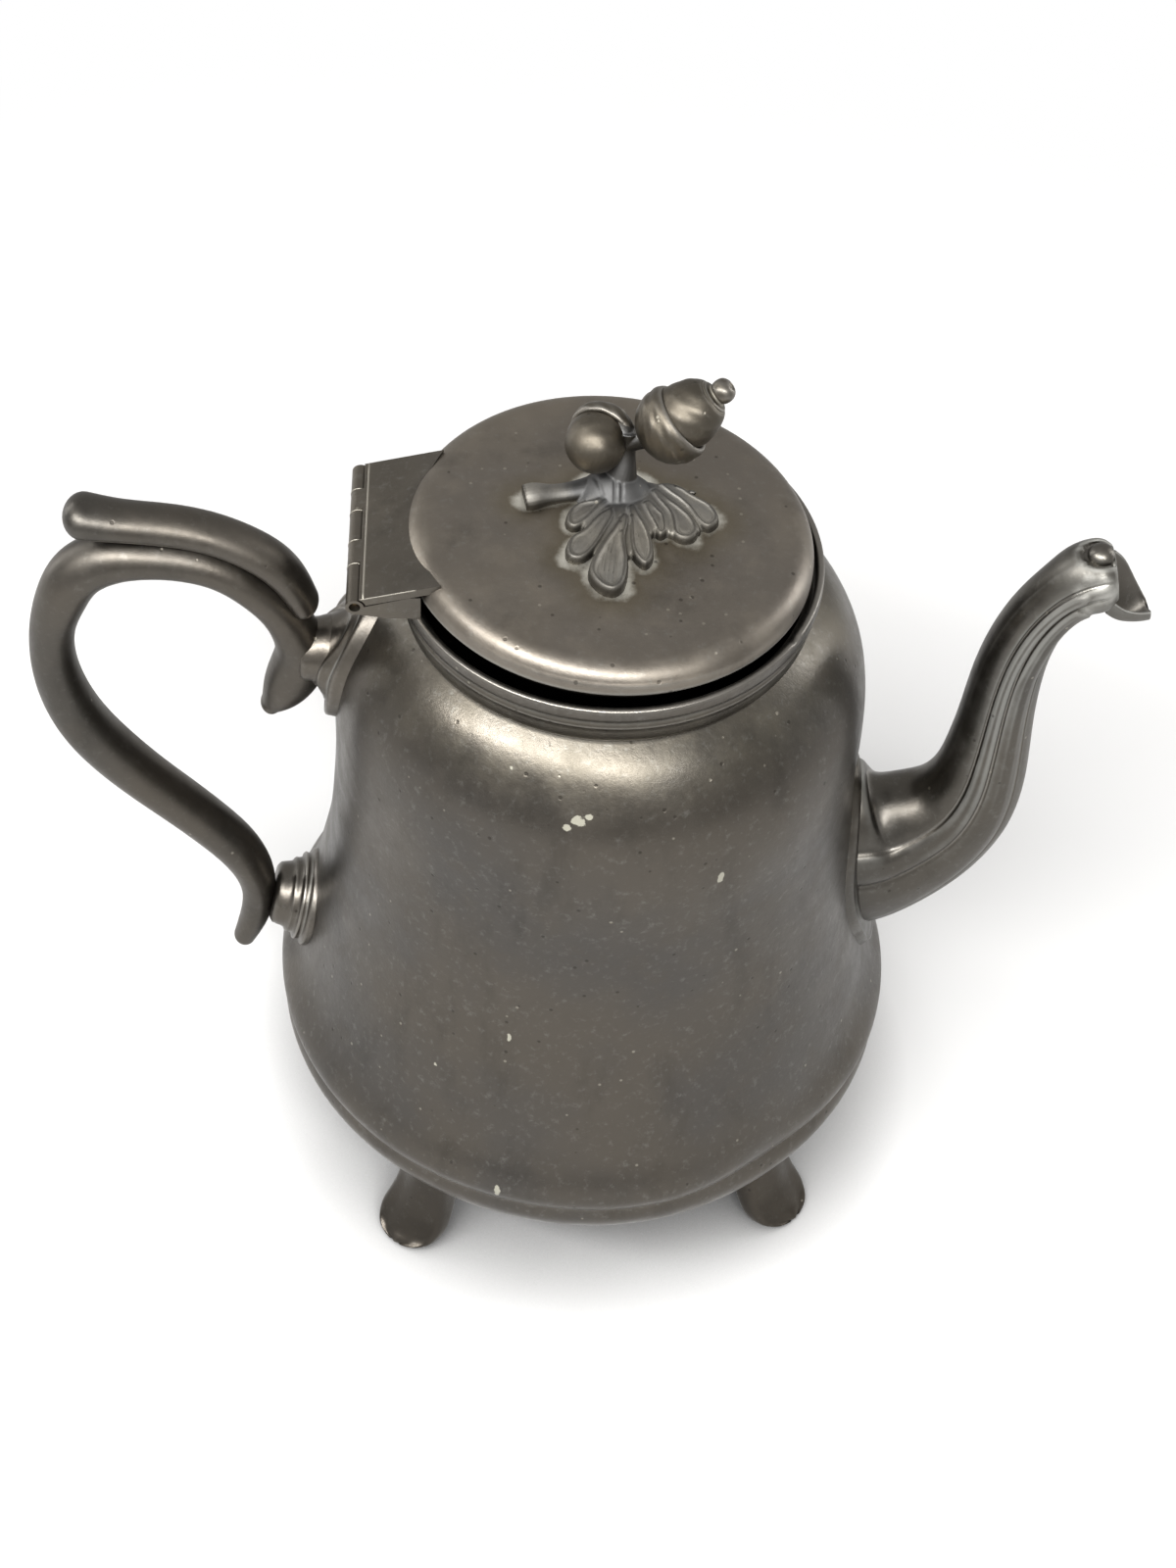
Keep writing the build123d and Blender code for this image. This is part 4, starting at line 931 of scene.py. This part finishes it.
for i in range(nx - 1):
    for j in range(ny - 1):
        quad = [(i, j), (i + 1, j), (i + 1, j + 1), (i, j + 1)]
        if all(q in index for q in quad):
            top = [index[q] for q in quad]
            faces += [tuple(top), tuple(v + 1 for v in top[::-1])]
            for a, b in zip(top, top[1:] + top[:1]):
                border[(a, b)] = border.get((a, b), 0) + 1
for a, b in list(border):
    if (b, a) not in border:
        faces.append((b, a, a + 1, b + 1))
foliage = [(verts, faces)]
foliage.append(limb(((0.9, 8.4, -1.0, 5.0), (1.0, 8.7, 1.4, 4.7), (1.2, 9.1, 3.8, 3.9), (1.5, 9.9, 7.0, 3.0),
                     (1.7, 11.2, 11.0, 2.3), (1.9, 12.2, 15.5, 2.7))))
foliage.append(limb(((1.7, 11.4, 12.4, 2.2), (4.5, 11.4, 13.8, 2.3), (8.6, 11.3, 15.6, 3.2)), steps=12))
foliage.append(limb(((1.8, 12.0, 13.2, 2.3), (0.6, 12.3, 14.6, 2.6), (0.2, 14.6, 15.2, 2.0)), steps=12))
foliage.append(limb(((-0.5, 9.3, 0.3, 3.8), (-3.0, 9.2, 0.9, 3.3), (-6.0, 8.4, 1.0, 2.8), (-9.0, 7.5, 1.0, 2.5),
                     (-12.0, 6.8, 1.0, 2.4), (-14.5, 6.2, 1.1, 2.7), (-16.5, 5.7, 1.2, 3.1), (-17.8, 5.3, 1.1, 3.2),
                     (-18.8, 5.1, 1.0, 3.0)), steps=40))
foliage.append(limb(((1.5, 8.5, 0.6, 2.4), (6.0, 8.8, 0.9, 2.4), (10.0, 8.8, 0.6, 2.0)), steps=14))
for x, y, z, r in ((-5.0, 5.3, 1.9, 0.9), (6.6, 7.4, 2.6, 0.9), (16.6, 8.6, 1.0, 0.9)):
    curl = [(x + r * cos(a), y + r * sin(a), z, 0.5) for a in np.linspace(0.5, 5.2, 9)]
    foliage.append(limb(curl, 12, 20))
piece("finial_foliage_skin", *fused(foliage, 0.19, 5), finial_mat, "lid",
      ("finial_trunk", "oak_leaf_front", "oak_leaf_side", "twig_stub"), "finial_pewter", lid=True, reach=0.9)

LARGE, LARGE_WAY = (13.1, 11.9, LID_TOP + 19.9), (0.740, 0.085, 0.667)
cup = ((-10.2, 0.3), (-10.0, 2.4), (-9.1, 4.6), (-7.3, 6.6), (-5.2, 7.8), (-3.6, 8.25), (-2.9, 8.2), (-2.2, 8.3), (-1.3, 8.3),
       (-0.5, 8.0), (-0.05, 7.65), (0.03, 7.3), (-0.1, 7.1), (-0.6, 6.9))
nut = ((-1.0, 7.0), (0.0, 7.1), (1.4, 7.05), (3.0, 6.75), (4.5, 6.3), (6.0, 5.55), (7.2, 4.6), (7.6, 4.1), (7.7, 3.85),
       (7.8, 3.7), (8.0, 3.6), (8.2, 3.3), (8.35, 2.7), (8.5, 2.3), (8.65, 2.15), (8.9, 2.3), (9.4, 2.55),
       (10.2, 2.65), (11.1, 2.5), (11.8, 2.05), (12.2, 1.5), (12.3, 1.1), (12.1, 0.75), (11.9, 0.1))


def uneven(r, s, t):
    """Hand-worked unevenness."""
    return r * (1 + 0.010 * sin(3 * t + s) + 0.006 * sin(7 * t - 2 * s)), s


def beaten(r, s, t):
    """The cup's worn knobbly surface."""
    wave = 0.10 * sin(9 * t + 1.3 * s) * sin(1.9 * s + 2 * t) * smooth(-0.5, -2.2, s)
    return r * (1 + 0.010 * sin(2 * t)) + wave, s


rings = turned_on(np.array(LARGE) + (0.0, -0.05, -0.25), LARGE_WAY, spline(cup, 40), 96, beaten)
piece("large_acorn_cup_skin", *strip(rings, start_cap=True), acorn_mat, "lid", ("large_acorn_cup",), "finial_pewter",
      lid=True, reach=1.2)
rings = turned_on(LARGE, LARGE_WAY, spline(nut, 90), 96, uneven)
piece("large_acorn_nut_skin", *strip(rings, start_cap=True, end_cap=True), acorn_mat, "lid", ("large_acorn_nut",),
      "finial_pewter", lid=True, reach=1.2)
SMALL, SMALL_WAY = (-4.4, 11.5, LID_TOP + 12.3), (-0.42, -0.90, 0.0)
nut = [(-7.0 * cos(a), 6.5 * sin(a)) for a in np.linspace(0.03, pi - 0.03, 44)]
rings = turned_on(SMALL, SMALL_WAY, nut, 96, uneven)
piece("small_acorn_nut_skin", *strip(rings, start_cap=True, end_cap=True), acorn_mat, "lid", ("small_acorn_nut",),
      "finial_pewter", lid=True, reach=1.2)
cup = ((-8.3, 0.3), (-8.1, 2.2), (-7.3, 4.4), (-5.9, 6.1), (-4.5, 6.9), (-3.3, 7.1), (-2.7, 7.0), (-2.35, 6.75),
       (-2.25, 6.4), (-2.4, 6.1), (-3.4, 5.6))
rings = turned_on((-4.35, 11.5, LID_TOP + 12.35), (-0.41, -0.905, 0.0), spline(cup, 36), 96, beaten)
piece("small_acorn_cup_skin", *strip(rings, start_cap=True), acorn_mat, "lid", ("small_acorn_cup",), "finial_pewter",
      lid=True, reach=1.2)
rings = turned_on((0.2, 14.6, LID_TOP + 17.2), (0.2, -0.3, 0.95), [(-1.2, 1.5), (0.0, 1.4), (0.7, 1.1), (1.1, 0.5), (1.15, 0.1)], 20)
piece("solder_lump", *strip(rings, end_cap=True), pale_mat, "lid", (), "finial_pewter", lid=True)


# Pale lines in the joints of the hinge's barrel, and along its leaf a pale strip beside the barrel, which is a painted
# highlight, and a pale line on its near edge

for i, y in enumerate((-9.34, -2.44, 6.5, 12.99)):
    arc = [(HINGE_X + 1.86 * cos(a), y, HINGE_Z - LID_TOP + 1.86 * sin(a), 0.15) for a in np.linspace(0.5, 3.6, 9)]
    piece(f"knuckle_line_{i}", *limb(arc, 10, 30), pale_mat, "pot", (), "hinge_metal")
climb = tan(radians(17))


def on_leaf(x, y, lift, radius):
    """A place on the lid's leaf, x from the hinge's axis."""
    return (HINGE_X + x, y, HINGE_Z - LID_TOP + 1.82 + (x + 0.55) * climb + lift, radius)


# A pale strip beside the barrel, a painted highlight, and a pale line along the leaf's near edge.
lines = [limb([on_leaf(1.7, y, -0.15, 0.26) for y in (-20.1, -7, 7, 20.1)], 10, 24),
         limb([on_leaf(x, -20.2, -0.10, 0.13) for x in (1.0, 5.0, 9.0, 12.5)], 10, 16)]
piece("hinge_leaf_lines", *joined(*lines), pale_mat, "lid", (), "hinge_metal", lid=True)


# CAD nodes that keep their own mesh

kept = {
    "lid_bezel": shaded_inner_mat, "hinge_pin": pin_mat, "finial_stud": pin_mat, "finial_nut": pin_mat,
    "body_hinge_leaf": hinge_mat, "lid_hinge_leaf": hinge_mat,
}
for name, mat in kept.items():
    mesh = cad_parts[name].data
    for index in range(len(mesh.materials)):
        mesh.materials[index] = mat
    if not mesh.materials:
        mesh.materials.append(mat)


# Floor, light and camera

def plane(name, half, place):
    mesh = bpy.data.meshes.new(name)
    mesh.from_pydata([(-half, -half, 0), (half, -half, 0), (half, half, 0), (-half, half, 0)], [], [(0, 1, 2, 3)])
    made = bpy.data.objects.new(name, mesh)
    made.location = place
    bpy.context.scene.collection.objects.link(made)
    return made


floor = plane("floor", 6.0, (0, 0, -0.0002))
floor_mat = bpy.data.materials.new("floor_white")
floor_mat.use_nodes = True
tree = floor_mat.node_tree
tree.nodes.clear()
path = node(tree, "ShaderNodeLightPath")
matte = node(tree, "ShaderNodeBsdfDiffuse", {"Color": (0.54, 0.54, 0.54, 1)})
glow = node(tree, "ShaderNodeEmission", {"Color": (1, 1, 1, 1), "Strength": 0.05})
# Ambient occlusion darkens the floor's colour near the pot: a painted contact shadow.
shade = node(tree, "ShaderNodeAmbientOcclusion", {"Color": (0.64, 0.64, 0.64, 1), "Distance": 0.031}, samples=8)
ground = node(tree, "ShaderNodeBsdfDiffuse", {"Color": shade.outputs["Color"]})
near = node(tree, "ShaderNodeAddShader", {0: ground.outputs[0], 1: glow.outputs[0]})
far = node(tree, "ShaderNodeEmission", {"Color": (1, 1, 1, 1), "Strength": 1.0})
away = node(tree, "ShaderNodeVectorMath", {0: node(tree, "ShaderNodeTexCoord").outputs["Object"]},
            operation="LENGTH").outputs["Value"]
seen = node(tree, "ShaderNodeMixShader", {0: ramp(tree, away, 0.26, 0.46), 1: near.outputs[0], 2: far.outputs[0]})
chosen = node(tree, "ShaderNodeMixShader", {0: path.outputs["Is Camera Ray"], 1: matte.outputs[0], 2: seen.outputs[0]})
node(tree, "ShaderNodeOutputMaterial", {"Surface": chosen.outputs[0]})
floor.data.materials.append(floor_mat)

world = bpy.data.worlds.new("studio")
bpy.context.scene.world = world
world.use_nodes = True
tree = world.node_tree
tree.nodes.clear()
path = node(tree, "ShaderNodeLightPath")
dim = node(tree, "ShaderNodeBackground", {"Color": (1.0, 0.985, 0.965, 1), "Strength": 0.58})
bright = node(tree, "ShaderNodeBackground", {"Color": (1, 1, 1, 1), "Strength": 1.0})
chosen = node(tree, "ShaderNodeMixShader", {0: path.outputs["Is Camera Ray"], 1: dim.outputs[0], 2: bright.outputs[0]})
node(tree, "ShaderNodeOutputWorld", {"Surface": chosen.outputs[0]})


def lamp(name, place, aim, size, power, colour=(1, 1, 1)):
    data = bpy.data.lights.new(name, "AREA")
    data.shape = "RECTANGLE"
    data.size, data.size_y = size
    data.energy = power
    data.color = colour
    made = bpy.data.objects.new(name, data)
    made.location = place
    made.rotation_mode = "QUATERNION"
    made.rotation_quaternion = (Vector(aim) - Vector(place)).to_track_quat("-Z", "Y")
    bpy.context.scene.collection.objects.link(made)
    return made


lamp("key", (-0.28, -0.62, 0.98), (0.0, 0.0, 0.14), (1.75, 0.17), 30.0, (1.0, 0.995, 0.985))
lamp("left_strip", (-0.80, 0.42, 0.36), (0.0, 0.0, 0.10), (0.16, 0.80), 2.0)
lamp("right_strip", (0.85, 0.30, 0.36), (0.0, 0.0, 0.10), (0.14, 0.70), 2.5)

camera = bpy.data.objects.new("camera", bpy.data.cameras.new("camera"))
camera.data.sensor_fit = "AUTO"
camera.data.sensor_width = 36.0
camera.data.lens = 2800 / 1600 * 36.0
az, el, roll = radians(-4), radians(49.55), radians(-3.83)
back = Vector((sin(az) * cos(el), -cos(az) * cos(el), sin(el)))
right = Vector((cos(az), sin(az), 0))
up = back.cross(right)
right, up = cos(roll) * right - sin(roll) * up, sin(roll) * right + cos(roll) * up
distance = 687.49
target = Vector((AXIS_X, 0, 42.0))
spot = target - (594.5 - 600) / 2800 * distance * right + (972.4 - 800) / 2800 * distance * up + distance * back
camera.matrix_world = Matrix.Translation(spot * MM) @ Matrix((right, up, back)).transposed().to_4x4()
camera.data.clip_start, camera.data.clip_end = 0.02, 50
bpy.context.scene.collection.objects.link(camera)
bpy.context.scene.camera = camera
bpy.context.scene.view_settings.view_transform = "Standard"
